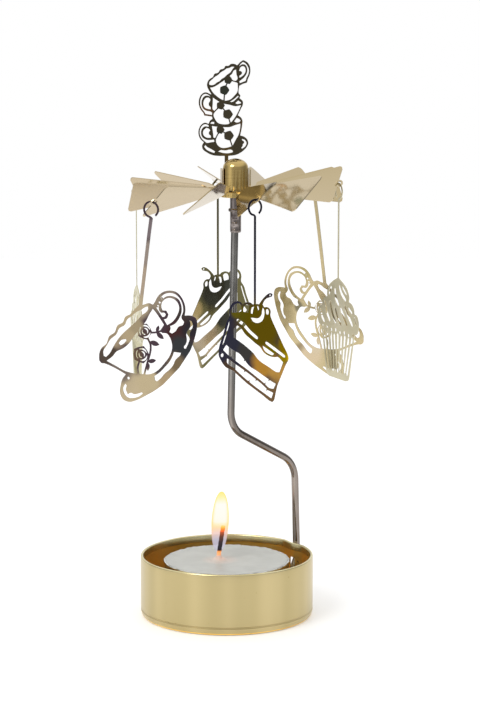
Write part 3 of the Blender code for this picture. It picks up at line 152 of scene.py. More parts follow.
def plug(node, **sockets):
    """Set inputs of a node, each to a value, an output or another node's first output.

    An input is named by its label with _ for spaces, or by in0, in1 and so on."""
    for key, value in sockets.items():
        numbered = key[:2] == "in" and key[2:].isdigit()
        socket = node.inputs[int(key[2:]) if numbered else key.replace("_", " ")]
        value = value.outputs[0] if isinstance(value, bpy.types.Node) else value
        if isinstance(value, bpy.types.NodeSocket):
            node.id_data.links.new(value, socket)
        else:
            socket.default_value = value


def add_node(tree, kind, options=None, stops=(), **sockets):
    """Add a node; kind is its type without ShaderNode, options its settings, sockets its inputs.

    The stops of a ramp are pairs of a position and a hex colour or a grey value."""
    node = tree.nodes.new("ShaderNode" + kind)
    for place, (position, code) in enumerate(stops):
        ramp = node.color_ramp.elements
        stop = ramp[place] if place < 2 else ramp.new(position)
        stop.position = position
        stop.color = linear(code) if isinstance(code, str) else (code, code, code, 1.0)
    for key, value in (options or {}).items():
        setattr(node, key, value)
    plug(node, **sockets)
    return node


def new_surface(name, **constants):
    """A material with one Principled shader and its constants set on the shader's sockets."""
    surface = bpy.data.materials.new(name)
    surface.use_nodes = True
    shader = surface.node_tree.nodes["Principled BSDF"]
    plug(shader, **constants)
    return surface, surface.node_tree, shader


def repaint(node, surface):
    """Give a node of the frame, which is drawn as it is, a material of its own."""
    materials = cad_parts[node].data.materials
    materials.clear()
    materials.append(surface)


SMOOTH, COLOURS = {"interpolation_type": "SMOOTHSTEP"}, {"data_type": "RGBA"}
TIMES, TIMES_PLUS = {"operation": "MULTIPLY"}, {"operation": "MULTIPLY_ADD"}
print("mid brass in linear light:", [round(v, 3) for v in linear("c9b885")])

# %% [markdown]
# ## Lacquered tinplate
# The tin is thin steel sheet under a clear gold lacquer. Its gold has soft upright bands about 10
# mm wide, a painted sheen, and the lacquer holds a few specks of dust. Inside, the lacquer is
# painted a brighter, deeper gold, which is painted light for the light that bounces from wall to
# wall. The hem is painted a paler gold, a painted highlight.

# %% Material: gold lacquered tinplate
BAND_WIDTH, DUST_SIZE = 9 * MM, 1.1 * MM


def gold_tinplate(name, pale, deep, roughness):
    """Gold between two tones in upright bands of painted sheen (noise stretched 25 times in z),
    with dark specks of dust.
    """
    surface, tree, shader = new_surface(name, Metallic=1.0, Roughness=roughness)
    place = add_node(tree, "TexCoord").outputs["Object"]
    upright = add_node(tree, "Mapping", Vector=place, Scale=(1.0, 1.0, 0.04))
    # Painted sheen: the gold changes between the two tones in upright bands.
    painted_sheen_bands = add_node(tree, "TexNoise", Vector=upright, Scale=1 / BAND_WIDTH, Detail=1.0)
    tone = add_node(tree, "ValToRGB", stops=[(0.3, deep), (0.7, pale)], Fac=painted_sheen_bands)
    dust = add_node(tree, "TexNoise", Vector=place, Scale=1 / DUST_SIZE, Detail=2.0)
    speck = add_node(tree, "MapRange", Value=dust, From_Min=0.74, From_Max=0.80)
    spotted = add_node(tree, "Mix", COLOURS, Factor=speck, in6=tone, in7=linear("a38d58"))
    grain = add_node(tree, "Bump", Strength=0.05, Distance=0.02 * MM, Height=dust)
    plug(shader, Base_Color=spotted.outputs[2], Normal=grain)
    return surface


# Painted light: the inside is a brighter gold than the outside, and the hem a paler gold, a painted
# highlight.
tin_outside = gold_tinplate("gold_lacquered_tinplate_outside", "cab98a", "b6a678", 0.28)
tin_inside_painted_light = gold_tinplate("gold_tinplate_inside_painted_light", "ffdc84", "f8cc68", 0.4)
tin_hem_painted_highlight = gold_tinplate("gold_tinplate_hem_painted_highlight", "e8deb4", "cfc28e", 0.24)
print(tin_outside.name, tin_inside_painted_light.name, tin_hem_painted_highlight.name)

# %% [markdown]
# ## The tin
# A press draws the tin from a disc and rolls its edge inwards to a hem. The profile below runs
# from the middle of the floor inside, up the wall, over the hem and down the outside, past a thin
# groove above the foot, to the middle underneath. Turning it gives the grid. Two things break the
# symmetry: a shallow dent where the rod runs down outside, and a small window under it where the
# rod's foot passes through.

# %% Turned profiles
def turned_grid(profile, steps, centre=(0.0, 0.0, 0.0), start=0.0):
    """Points (r cos a, r sin a, z) + centre for a profile of (r, z) and evenly spaced angles a."""
    angles = start + np.linspace(0, 2 * np.pi, steps, endpoint=False)
    r, z = np.array(profile, dtype=float).T
    return np.stack([np.outer(r, np.cos(angles)), np.outer(r, np.sin(angles)),
                     np.repeat(z[:, None], steps, axis=1)], axis=-1) + np.array(centre)


def round_corner(centre, radius, start, end, steps):
    """Points of an arc in the (r, z) plane between two angles in degrees."""
    a = np.radians(np.linspace(start, end, steps))
    return np.stack([centre[0] + radius * np.cos(a), centre[1] + radius * np.sin(a)], axis=-1)


def step_between(value, low, high):
    """0 below low, 1 above high, and 3t^2 - 2t^3 between."""
    t = np.clip((value - low) / (high - low), 0, 1)
    return t * t * (3 - 2 * t)


print("half way between two levels:", step_between(0.5, 0.0, 1.0))

# %% Tin profile
TIN_RADIUS, TIN_SHEET = 26.0 * MM, 0.4 * MM
WINDOW_LEVELS = (6.4 * MM, 13.9 * MM)
HEM_REACH, HEM_ROUND, GROOVE_DEPTH = 0.45 * MM, 0.42 * MM, 0.22 * MM
wall_inside = TIN_RADIUS - TIN_SHEET
wall_levels = np.unique(np.concatenate([np.linspace(1.8, 16.0, 13) * MM, WINDOW_LEVELS]))
inside = [(0, TIN_SHEET), (12 * MM, TIN_SHEET), (22 * MM, TIN_SHEET),
          *round_corner((wall_inside - 0.8 * MM, 1.2 * MM), 0.8 * MM, -90, 0, 6)]
inside += [(wall_inside, z) for z in wall_levels]
hem = [(wall_inside - HEM_REACH, 16.3 * MM), (wall_inside - HEM_REACH, 18.1 * MM),
       *round_corner((TIN_RADIUS - 0.425 * MM, 18.08 * MM), HEM_ROUND, 180, 0, 11)[1:]]
outside = [(TIN_RADIUS, z) for z in wall_levels[:0:-1]]
outside += [(TIN_RADIUS, 2.6 * MM), (TIN_RADIUS - GROOVE_DEPTH, 2.4 * MM),
            (TIN_RADIUS - GROOVE_DEPTH, 2.2 * MM), (TIN_RADIUS, 2.0 * MM), (TIN_RADIUS, 1.6 * MM),
            *round_corner((TIN_RADIUS - 1.4 * MM, 1.2 * MM), 1.2 * MM, 0, -90, 8),
            (20 * MM, 0), (0, 0)]
profile = np.array(inside + hem + outside)
print("points in the tin's profile:", len(profile))

# %% Dent for the rod
SEAT_TURN = np.radians(35.5)
TIN_COLUMNS = 240
DENT_DEPTH, DENT_REACH_DEGREES, FLOOR_REACH = 1.0 * MM, 12, 20 * MM
tin_grid = turned_grid(profile, TIN_COLUMNS, start=SEAT_TURN)
around_seat = np.abs((np.arange(TIN_COLUMNS) / TIN_COLUMNS * 360 + 180) % 360 - 180)
dent = DENT_DEPTH * (1 + np.cos(np.pi * np.clip(around_seat / DENT_REACH_DEGREES, 0, 1))) / 2
radius = np.linalg.norm(tin_grid[..., :2], axis=-1, keepdims=True)
on_wall = radius[..., 0] > FLOOR_REACH
pressed = dent[None, :] * step_between(tin_grid[..., 2], 5 * MM, 12 * MM) * on_wall
tin_grid[..., :2] *= 1 - pressed[..., None] / np.maximum(radius, MM)
tin_faces = faces_of_grid(len(profile), TIN_COLUMNS, False, True)
print("deepest dent in mm:", round(pressed.max() / MM, 2))


# %% Window for the rod's foot
def window_rows(points, levels):
    """First and last row of a wall between two heights."""
    high_enough, low_enough = points[:, 1] >= levels[0] - 1e-7, points[:, 1] <= levels[1] + 1e-7
    rows = np.flatnonzero(high_enough & low_enough)
    return rows[0], rows[-1]


# Two columns of 1.5 degrees on each side of the rod make an opening 2.7 mm wide.
half_window = 2
inner_rows = window_rows(np.array(inside), WINDOW_LEVELS)
outer_rows = window_rows(np.array(outside), WINDOW_LEVELS)
outer_rows = tuple(row + len(inside) + len(hem) for row in outer_rows)
columns = np.arange(-half_window, half_window)
kept = np.ones(tin_faces.shape[:2], bool)
for first, last in (inner_rows, outer_rows):
    kept[first:last, columns] = False


def bridge(inner_line, outer_line):
    """Quads between two lines of grid indices of equal length."""
    return np.stack([inner_line[:-1], inner_line[1:], outer_line[1:], outer_line[:-1]], axis=-1)


def grid_index(row, column):
    """Places of grid points in the mesh, with columns taken round the tin."""
    return row * TIN_COLUMNS + np.asarray(column) % TIN_COLUMNS


across = np.arange(-half_window, half_window + 1)
up_inner = np.arange(inner_rows[0], inner_rows[1] + 1)
up_outer = np.arange(outer_rows[1], outer_rows[0] - 1, -1)
edges = [bridge(grid_index(inner_rows[0], across), grid_index(outer_rows[1], across)),
         bridge(grid_index(inner_rows[1], across), grid_index(outer_rows[0], across)),
         bridge(grid_index(up_inner, -half_window), grid_index(up_outer, -half_window)),
         bridge(grid_index(up_inner, half_window), grid_index(up_outer, half_window))]
tin_quads = np.concatenate([tin_faces[kept], *edges])
print("quads that close the window's edge:", sum(map(len, edges)))

# %% Tin
# The lacquer inside (1) ends at the hem (2), and the outside (0) is the rest.
tin_mesh = mesh_from_arrays("tin", tin_grid + tin_centre, tin_quads)
tin = piece_from_mesh("tin", tin_mesh, "stand", tin_outside, tin_inside_painted_light, tin_hem_painted_highlight)
middles = np.zeros(len(tin_mesh.polygons) * 3)
tin_mesh.polygons.foreach_get("center", middles)
middles = middles.reshape(-1, 3) - tin_centre
reach = np.linalg.norm(middles[:, :2], axis=1)
finish = np.where((reach < wall_inside + 0.1 * MM) & (middles[:, 2] > 0.3 * MM), 1, 0)
finish = np.where((middles[:, 2] > 16.1 * MM) & (reach < TIN_RADIUS - 0.02 * MM), 2, finish)
tin_mesh.polygons.foreach_set("material_index", finish.astype(np.int32))
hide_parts("base_tin")
print("tin faces:", len(tin_mesh.polygons))

# %% [markdown]
# ## Steel wire
# The stand is one piece of drawn steel wire, bent cold. Drawing leaves fine lines along it. Its
# tone is a dull grey-brown, browner low down and greyer above. A painted reflection follows the
# direction that the wire's surface faces: lighter a little left of the front, darker at the sides,
# most on the upper half. Its middle line lies very nearly in one upright plane, so the plane's
# normal is a steady side direction for every ring of the tube and nothing twists.

# %% Material: drawn steel wire
drawn_steel, tree, shader = new_surface("drawn_steel_wire", Metallic=1.0, Roughness=0.13)
coordinates = add_node(tree, "TexCoord")
place, normal = coordinates.outputs["Object"], coordinates.outputs["Normal"]
along = add_node(tree, "Mapping", Vector=place, Scale=(1.0, 1.0, 0.02))
lines = add_node(tree, "TexNoise", Vector=along, Scale=1 / (0.5 * MM), Detail=3.0)
stain = add_node(tree, "TexNoise", Vector=place, Scale=1 / (7 * MM), Detail=4.0)
mixed = add_node(tree, "Math", TIMES_PLUS, in0=stain, in1=0.6, in2=0.1)
summed = add_node(tree, "Math", TIMES_PLUS, in0=lines, in1=0.5, in2=mixed)
dark = add_node(tree, "ValToRGB", stops=[(0.4, "6e6d6b"), (0.75, "a09e9b")], Fac=summed)
pale = add_node(tree, "ValToRGB", stops=[(0.4, "7a7068"), (0.75, "a2978f")], Fac=summed)
axes = add_node(tree, "SeparateXYZ", Vector=place)
rise = add_node(tree, "MapRange", SMOOTH, Value=axes.outputs["Z"], From_Min=50 * MM,
                From_Max=85 * MM)
tone = add_node(tree, "Mix", COLOURS, Factor=rise, in6=pale, in7=dark)
print("nodes for the wire's tone:", len(tree.nodes))

# %% Painted reflection by facing direction
# Painted reflection: lighter where the surface faces a little left of the front, darker at its
# sides.
facing = add_node(tree, "SeparateXYZ", Vector=normal)
ahead = add_node(tree, "Math", TIMES, in0=facing.outputs["Y"], in1=-1.0)
turned = add_node(tree, "Math", {"operation": "ARCTAN2"}, in0=facing.outputs["X"], in1=ahead)
share = add_node(tree, "MapRange", Value=turned, From_Min=-np.pi, From_Max=np.pi)
painted_reflection = add_node(tree, "ValToRGB", stops=[(0.0, "b0b0b0"), (0.25, "707070"), (0.36, "989898"),
                                            (0.41, "f0f0f0"), (0.48, "ffffff"), (0.52, "c4c4c4"),
                                            (0.6, "b4b4b4"), (0.66, "848484"), (0.75, "707070"),
                                            (0.9, "c8c8c8"), (1.0, "b0b0b0")], Fac=share)
# The painted reflection grows stronger from 30 mm up to 70 mm.
painted_reflection_strength = add_node(tree, "MapRange", SMOOTH, Value=axes.outputs["Z"], From_Min=30 * MM,
                  From_Max=70 * MM, To_Min=0.25, To_Max=1.0)
tone_with_painted_reflection = add_node(tree, "Mix", {"data_type": "RGBA", "blend_type": "MULTIPLY"}, Factor=painted_reflection_strength,
                  in6=tone.outputs[2], in7=painted_reflection)
bump = add_node(tree, "Bump", Strength=0.04, Distance=0.03 * MM, Height=lines)
plug(shader, Base_Color=tone_with_painted_reflection.outputs[2], Normal=bump)
print(drawn_steel.name)

# %% Bent paths and tubes
def smooth_bends(points, radii, steps):
    """Straight runs joined by arcs: an arc of radius r starts r tan(turn / 2) before its corner."""
    path = [points[0]]
    for before, here, after, radius in zip(points, points[1:], points[2:], radii):
        into = (here - before) / np.linalg.norm(here - before)
        out = (after - here) / np.linalg.norm(after - here)
        turn = np.arccos(np.clip(into @ out, -1, 1))
        side = out - into * (out @ into)
        side /= np.linalg.norm(side)
        a = np.linspace(0, turn, steps)[:, None]
        path.extend(here - into * radius * np.tan(turn / 2)
                    + side * radius * (1 - np.cos(a)) + into * radius * np.sin(a))
    return np.array([*path, points[-1]])


def tube_grid(path, side, radius, steps, ends=()):
    """Rings path + r (cos a side + sin a up), where up is side x the path's direction.

    Each entry of ends is a pair (share of the radius, length beyond the path's last ring)."""
    direction = np.gradient(path, axis=0)
    direction /= np.linalg.norm(direction, axis=1, keepdims=True)
    up = np.cross(side, direction)
    reach = np.full(len(path), 1.0)
    for share, beyond in ends:
        path = np.vstack([path[:1] - direction[:1] * beyond, path,
                          path[-1:] + direction[-1:] * beyond])
        up = np.vstack([up[:1], up, up[-1:]])
        direction = np.vstack([direction[:1], direction, direction[-1:]])
        reach = np.concatenate([[share], reach, [share]])
    a = np.linspace(0, 2 * np.pi, steps, endpoint=False)
    ring = np.cos(a)[None, :, None] * side + np.sin(a)[None, :, None] * up[:, None, :]
    return path[:, None, :] + ring * radius * reach[:, None, None]


print("corners of a right angle's arc:", len(smooth_bends(np.eye(3), [0.2], 5)))

# %% Stand rod
# The wire isn't bent quite true: along hand_bend it is up to 1.9 mm off, away from its foot.
ROD_RADIUS, ROD_SIDES = 1.1 * MM, 32
seat_way = np.array([np.cos(SEAT_TURN), np.sin(SEAT_TURN), 0.0])
rod_inside = tin_centre + seat_way * 24.2 * MM
rod_outside = tin_centre + seat_way * 26.4 * MM
hand_bend = -rod_outside / np.linalg.norm(rod_outside)
rod_points = [rod_inside + UP * 0.75 * MM, rod_inside + UP * 8.3 * MM, rod_outside + UP * 13.5 * MM,
              rod_outside + hand_bend * 1.0 * MM + UP * 43.6 * MM,
              hand_bend * 1.9 * MM + UP * 57.2 * MM, hand_bend * 0.4 * MM + UP * 114 * MM,
              UP * 126.15 * MM]
rod_path = smooth_bends(rod_points, np.array([2.8, 2.8, 9.0, 8.0, 30.0]) * MM, 14)
straight = np.linspace(0, 1, 12)[1:, None]
rod_path = np.vstack([rod_path[:-1], rod_path[-2] + (rod_path[-1] - rod_path[-2]) * straight])
bend_plane = np.cross(rod_outside / np.linalg.norm(rod_outside), UP)
rod_grid = tube_grid(rod_path, bend_plane, ROD_RADIUS, ROD_SIDES,
                     ends=[(1.0, 0.0), (0.75, 0.03 * MM), (0.0, 0.0)])
rod = grid_piece("stand_wire", rod_grid, "stand", drawn_steel, 50)
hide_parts("stand_rod")
wire_length = np.linalg.norm(np.diff(rod_path, axis=0), axis=1).sum()
print("wire length in mm:", round(wire_length / MM, 1))

# %% [markdown]
# ## Needle bearing
# A nickel-plated sleeve sits on the wire's end and holds the needle. A collar is turned on it,
# and below the collar a tool has squeezed the sleeve onto the wire in two places. The squeeze
# marks are dips in the radius, worked out for the whole grid at once.

# %% Material: nickel plate
nickel, tree, shader = new_surface("nickel_plate", Metallic=1.0, Roughness=0.1)
place = add_node(tree, "TexCoord").outputs["Object"]
stain = add_node(tree, "TexNoise", Vector=place, Scale=1 / (2.2 * MM), Detail=4.0)
tone = add_node(tree, "ValToRGB", stops=[(0.35, "5c5452"), (0.7, "978e8a")], Fac=stain)
plug(shader, Base_Color=tone)
print(nickel.name)

# %% Sleeve
SLEEVE_RADIUS, SLEEVE_COLUMNS = 1.65, 64
sleeve_profile = np.array([
    (0.9, 131.5), (1.35, 131.5), (1.55, 131.42), (SLEEVE_RADIUS, 131.2),
    *((SLEEVE_RADIUS, z) for z in np.linspace(130, 123.1, 8)),
    (1.95, 123.08), (2.15, 122.8), (2.15, 122.4), (1.95, 122.12), (SLEEVE_RADIUS, 122.1),
    *((SLEEVE_RADIUS, z) for z in np.linspace(121.6, 116.4, 34)),
    (1.6, 116.15), (1.5, 116.0), (1.3, 116.0), (1.3, 126.5), (0.9, 126.5)]) * MM
sleeve_grid = turned_grid(sleeve_profile, SLEEVE_COLUMNS)
turn = np.degrees(np.arctan2(sleeve_grid[..., 1], sleeve_grid[..., 0]))
squeezed = np.zeros(sleeve_grid.shape[:2])
MARK_SPREAD_DEGREES, MARK_HALF_HEIGHT = 34, 0.75
for level, facing, depth in ((119.6, -100, 0.22), (117.6, -112, 0.20), (118.4, 70, 0.22)):
    off = np.abs((turn - facing + 180) % 360 - 180) / MARK_SPREAD_DEGREES
    rise = np.abs(sleeve_grid[..., 2] / MM - level) / MARK_HALF_HEIGHT
    squeezed += depth * MM * np.exp(-off ** 4 - rise ** 4)
outer = np.linalg.norm(sleeve_grid[..., :2], axis=-1) > 1.6 * MM
sleeve_grid[..., :2] *= (1 - np.where(outer, squeezed, 0) / (SLEEVE_RADIUS * MM))[..., None]
sleeve = grid_piece("bearing_sleeve", sleeve_grid, "stand", nickel, close_rows=True)
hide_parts("pivot_sleeve")
repaint("pivot_needle", drawn_steel)
print("deepest squeeze in mm:", round(squeezed.max() / MM, 2))

# %% [markdown]
# ## Brass
# Two kinds of brass show here. The cap is turned from rod and polished, so it is a deep yellow
# mirror with faint rings round it. The rotor and the charms are thin sheet, rolled bright, and
# mirror their white surroundings in a pale gold. A mirror takes its look from what it sees, and on
# the charms that is a patchwork of room and table. So a charm's colour is a painted reflection: a
# plain tone plus soft patches at set places of the sheet.

# %% Materials: turned brass and bright sheet
turned_brass, tree, shader = new_surface("turned_polished_brass", Metallic=1.0, Roughness=0.1)
place = add_node(tree, "TexCoord").outputs["Object"]
rings = add_node(tree, "Mapping", Vector=place, Scale=(0.01, 0.01, 1.0))
lathe = add_node(tree, "TexNoise", Vector=rings, Scale=1 / (0.5 * MM), Detail=2.0)
tone = add_node(tree, "ValToRGB", stops=[(0.3, "b89e62"), (0.7, "cfb578")], Fac=lathe)
plug(shader, Base_Color=tone)


def sheet_with_painted_reflection(name, plain, reflection_patches=(), roughness=0.12):
    """Rolled brass sheet with a painted reflection: a plain tone, then for each spot (place,
    radius, colour) a soft patch.

    A patch covers fully inside 0.45 of its radius and fades out at its radius. A wavy shift of the
    place, in steps of about 5 mm, keeps the patches from being round."""
    surface, tree, shader = new_surface(name, Metallic=1.0, Roughness=roughness)
    place = add_node(tree, "TexCoord").outputs["Object"]
    wave = add_node(tree, "TexNoise", Vector=place, Scale=1 / (5 * MM), Detail=2.0)
    shift = add_node(tree, "VectorMath", TIMES_PLUS, in0=wave.outputs["Color"],
                     in1=(3 * MM, 3 * MM, 3 * MM), in2=place)
    tone = add_node(tree, "Mix", COLOURS, Factor=wave,
                    in6=[0.9 * v for v in linear(plain)[:3]] + [1.0], in7=linear(plain))
    # Each patch is a painted reflection.
    for spot, radius, colour in reflection_patches:
        centre = tuple(np.asarray(spot) + 1.5 * MM)
        off = add_node(tree, "VectorMath", {"operation": "DISTANCE"}, in0=shift, in1=centre)
        cover = add_node(tree, "MapRange", SMOOTH, Value=off.outputs["Value"], From_Min=radius,
                         From_Max=radius * 0.45)
        tone = add_node(tree, "Mix", COLOURS, Factor=cover, in6=tone.outputs[2], in7=linear(colour))
    ripple = add_node(tree, "Bump", Strength=0.06, Distance=0.15 * MM, Height=wave)
    plug(shader, Base_Color=tone.outputs[2], Normal=ripple)
    return surface


print(turned_brass.name)

# %% Bearing cap
CAP_COLUMNS, CAP_RADIUS, DOME_RISE, DOME_FOOT = 96, 3.75, 2.8, 135.0
dome = round_corner((0.0, DOME_FOOT), 1.0, 90, 0, 14) - (0.0, DOME_FOOT)
cap_profile = np.vstack([
    dome * (CAP_RADIUS, DOME_RISE) + (0.0, DOME_FOOT),
    [(CAP_RADIUS, z) for z in np.linspace(134.6, 128.15, 8)],
    [(4.4, 128.1), (4.5, 128.0), (4.5, 126.6), (4.4, 126.5), (2.35, 126.5), (2.35, 134.1),
     (0.0, 135.3)]]) * MM
cap_grid = turned_grid(cap_profile, CAP_COLUMNS)
cap = grid_piece("bearing_cap_turned", cap_grid, "rotor", turned_brass)
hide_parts("bearing_cap")
print("cap faces:", len(cap.data.polygons))

# %% [markdown]
# ## Sheet with smooth outlines
# The charms and the cups on top are etched from thin sheet. The frame's plates have straight
# little edges, and an etched line is smooth. So each outline is taken from the frame as one
# ordered loop, a cubic Hermite curve is laid through its points, and the new outlines are filled
# and given the sheet's thickness. Sharp corners and long edges stay as they are.

# %% Outlines from a flat plate
def plate_outlines(node):
    """Ordered outlines of a plate's front face in its own plane, and the plane as a matrix."""
    shape = bmesh.new()
    shape.from_mesh(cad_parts[node].data)
    bmesh.ops.remove_doubles(shape, verts=shape.verts, dist=WELD)
    bmesh.ops.recalc_face_normals(shape, faces=shape.faces)
    largest = max(shape.faces, key=lambda face: face.calc_area())
    normal = largest.normal.copy()
    if normal.y > 0:
        normal.negate()
    front = [face for face in shape.faces if face.normal.dot(normal) > 0.99]
    level = max(face.calc_center_median().dot(normal) for face in front)
    thickness = level + max(face.calc_center_median().dot(-normal) for face in shape.faces)
    across = Vector((0, 0, 1)).cross(normal).normalized()
    plane = Matrix((across, normal.cross(across), normal)).transposed().to_4x4()
    plane.translation = normal * (level - thickness / 2)
    kept_faces = set(front)
    others = [face for face in shape.faces if face not in kept_faces]
    bmesh.ops.delete(shape, geom=others, context="FACES")
    inner = [edge for edge in shape.edges if len(edge.link_faces) != 1]
    bmesh.ops.delete(shape, geom=inner, context="EDGES_FACES")
    bmesh.ops.delete(shape, geom=shape.faces[:], context="FACES_ONLY")
    mesh = bpy.data.meshes.new("outline")
    shape.to_mesh(mesh)
    shape.free()
    mesh.transform(plane.inverted())
    drawn = bpy.data.objects.new("outline", mesh)
    bpy.context.scene.collection.objects.link(drawn)
    bpy.ops.object.select_all(action="DESELECT")
    bpy.context.view_layer.objects.active = drawn
    drawn.select_set(True)
    bpy.ops.object.convert(target="CURVE")
    outlines = []
    for spline in drawn.data.splines:
        flat = np.zeros(len(spline.points) * 4)
        spline.points.foreach_get("co", flat)
        outlines.append(flat.reshape(-1, 4)[:, :2])
    bpy.data.objects.remove(drawn, do_unlink=True)
    return outlines, plane


print("outlines of the front cake:", len(plate_outlines("cake_front")[0]))

# %% Smooth outlines
LONG_EDGE = 6 * MM


def smooth_outline(points, steps=5, corner=55.0):
    """Closed Hermite curve: h00 p0 + h10 m0 + h01 p1 + h11 m1 per edge.

    A tangent m is as long as its edge, but at most twice the edge beyond its point. Where the
    line turns by more than the corner angle, both directions stay as they are, and an edge
    longer than 6 mm, as on a stem, stays straight."""
    following = np.roll(points, -1, axis=0)
    leaving = following - points
    length = np.linalg.norm(leaving, axis=1, keepdims=True)
    out = leaving / np.maximum(length, 1e-9)
    into, before = np.roll(out, 1, axis=0), np.roll(length, 1, axis=0)
    after = np.roll(length, -1, axis=0)
    turn = np.degrees(np.arccos(np.clip((into * out).sum(axis=1, keepdims=True), -1, 1)))
    if len(points) <= 10 and turn.max() < 80:
        corner = 80.0
    shared = into * length + out * before
    shared /= np.maximum(np.linalg.norm(shared, axis=1, keepdims=True), 1e-9)
    long_edge = length > LONG_EDGE
    start = np.where((turn > corner) | long_edge, out, shared)
    start = start * np.where(long_edge, length, np.minimum(length, 2 * before))
    end = np.where(long_edge, out, np.roll(np.where(turn > corner, into, shared), -1, axis=0))
    end = end * np.where(long_edge, length, np.minimum(length, 2 * after))
    t = np.linspace(0, 1, steps, endpoint=False)[:, None, None]
    curve = ((2 * t ** 3 - 3 * t ** 2 + 1) * points + (t ** 3 - 2 * t ** 2 + t) * start
             + (3 * t ** 2 - 2 * t ** 3) * following + (t ** 3 - t ** 2) * end)
    return curve.transpose(1, 0, 2).reshape(-1, 2)


print("points on a smoothed triangle:", len(smooth_outline(np.eye(3)[:, :2] * MM)))


# %% Filled plates and changes of a line
def filled_plate(name, outlines, thickness, plane):
    """Outlines as a filled flat curve of the sheet's thickness, as a mesh laid in its plane."""
    curve = bpy.data.curves.new(name, "CURVE")
    curve.dimensions, curve.fill_mode, curve.extrude = "2D", "BOTH", thickness / 2
    for outline in outlines:
        spline = curve.splines.new("POLY")
        spline.points.add(len(outline) - 1)
        flat = np.zeros((len(outline), 4))
        flat[:, :2], flat[:, 3] = outline, 1.0
        spline.points.foreach_set("co", flat.ravel())
        spline.use_cyclic_u = True
    drawn = bpy.data.objects.new(name, curve)
    bpy.context.scene.collection.objects.link(drawn)
    bpy.context.view_layer.update()
    evaluated = drawn.evaluated_get(bpy.context.evaluated_depsgraph_get())
    mesh = bpy.data.meshes.new_from_object(evaluated)
    bpy.data.objects.remove(drawn, do_unlink=True)
    mesh.name = name
    mesh.transform(plane)
    return cleaned(mesh, WELD / 2)


def grown(outline, distance):
    """The outline moved by a distance along its outward normal, which is (dy, -dx) round it."""
    x, y = outline.T
    turning = np.sign(np.sum(x * np.roll(y, -1) - y * np.roll(x, -1)))
    ahead = np.roll(outline, -1, axis=0) - np.roll(outline, 1, axis=0)
    normal = turning * np.stack([ahead[:, 1], -ahead[:, 0]], axis=-1)
    size = np.linalg.norm(normal, axis=1, keepdims=True)
    return outline + distance * normal / np.maximum(size, 1e-9)


def broad_stem(points, distance):
    """The outline with its two longest edges, a stem's sides, moved outwards along (dy, -dx)."""
    points = points.copy()
    edge = np.roll(points, -1, axis=0) - points
    length = np.linalg.norm(edge, axis=1)
    for start in np.argsort(length)[-2:]:
        outward = np.array([edge[start, 1], -edge[start, 0]]) / length[start]
        points[start] += outward * distance
        points[(start + 1) % len(points)] += outward * distance
    return points


# A crescent's middle radius and half width are in rose radii, its start and span in degrees.
CRESCENTS = ((0.71, 0.11, 15, 105), (0.72, 0.10, 135, 95), (0.70, 0.11, 248, 110),
             (0.37, 0.10, -40, 150), (0.36, 0.10, 145, 140))


def petals(centre, radius):
    """Openings of a rose: crescents, each between r + w and r - w, where w is its half width
    times sin(pi s)^0.6 and s runs from 0 to 1 along it."""
    gaps = []
    for reach, width, start, span in CRESCENTS:
        s = np.linspace(0.03, 0.97, 14)
        a = np.radians(start + span * s)
        half = width * np.sin(np.pi * s) ** 0.6
        r = np.concatenate([reach + half, (reach - half)[::-1]]) * radius
        a = np.concatenate([a, a[::-1]])
        gaps.append(centre + np.stack([r * np.cos(a), r * np.sin(a)], axis=-1))
    return gaps


print("openings of a rose:", len(petals(np.zeros(2), MM)))

# %% One sheet piece
SMALLEST_ROSE, BODY_BELOW_TOP = 1.5 * MM, 8 * MM


def is_rose_mark(line):
    """A small opening of 14 to 17 points that is as wide as it's high within 0.5 mm."""
    width, height = np.ptp(line, axis=0)
    small = width * height < (3.2 * MM) ** 2
    return small and 13 < len(line) < 18 and abs(width - height) < 0.5 * MM


def smooth_sheet(node, body, slot, plain, reflection_patches, thickness, rose=0.0, widen=0.0, thin=0.0,
                 lift=0.0, pips=(), stem=0.0, roughness=0.12):
    """A node's plate with smooth outlines and a painted reflection: a plain tone and patches, each
    (across, up, radius, colour) in millimetres.

    Across counts from the plate's left edge and up from its lowest point, seen from the front.
    Openings are widened and the outer line is thinned by the etching. Each side of a stem moves
    out by stem, pips are small extra openings (across, up, radius), and the body below the hook
    is raised by lift. Where a rose radius is given, petals take the place of the frame's plain
    marks, or nothing does if the radius is too small for them. Every line stays inside the
    plate's own box."""
    outlines, plane = plate_outlines(node)
    low, high = np.concatenate(outlines).min(axis=0), np.concatenate(outlines).max(axis=0)
    area = [np.ptp(line[:, 0]) * np.ptp(line[:, 1]) for line in outlines]
    smooth = []
    for line, size in zip(outlines, area):
        if rose and is_rose_mark(line):
            if rose > SMALLEST_ROSE:
                smooth += petals(line.mean(axis=0) - (0, 0.18 * MM), rose)
            continue
        outer = size == max(area)
        line = broad_stem(line, stem) if outer and stem else line
        smooth.append(grown(smooth_outline(line), -thin if outer else widen))
    diamond = np.array([(-1, 0), (0, -1), (1, 0), (0, 1)])
    for across, up, reach in pips:
        smooth.append(low + (diamond * reach + (across, up)) * MM)
    for line in smooth:
        line[:, 1] += lift * (line[:, 1] < high[1] - BODY_BELOW_TOP)
        line[:] = np.clip(line, low, high)
    places = [(plane @ Vector((low[0] + across * MM, low[1] + up * MM, 0)), radius * MM, code)
              for across, up, radius, code in reflection_patches]
    surface = sheet_with_painted_reflection("bright_brass_" + node, plain, places, roughness)
    mesh = filled_plate(node + "_etched", smooth, thickness, plane)
    mesh.materials.clear()
    piece = piece_from_mesh(node + "_etched", mesh, body, surface)
    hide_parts(node)
    return piece


print("marks that give way to petals:", sum(map(is_rose_mark, plate_outlines("teacup_front")[0])))
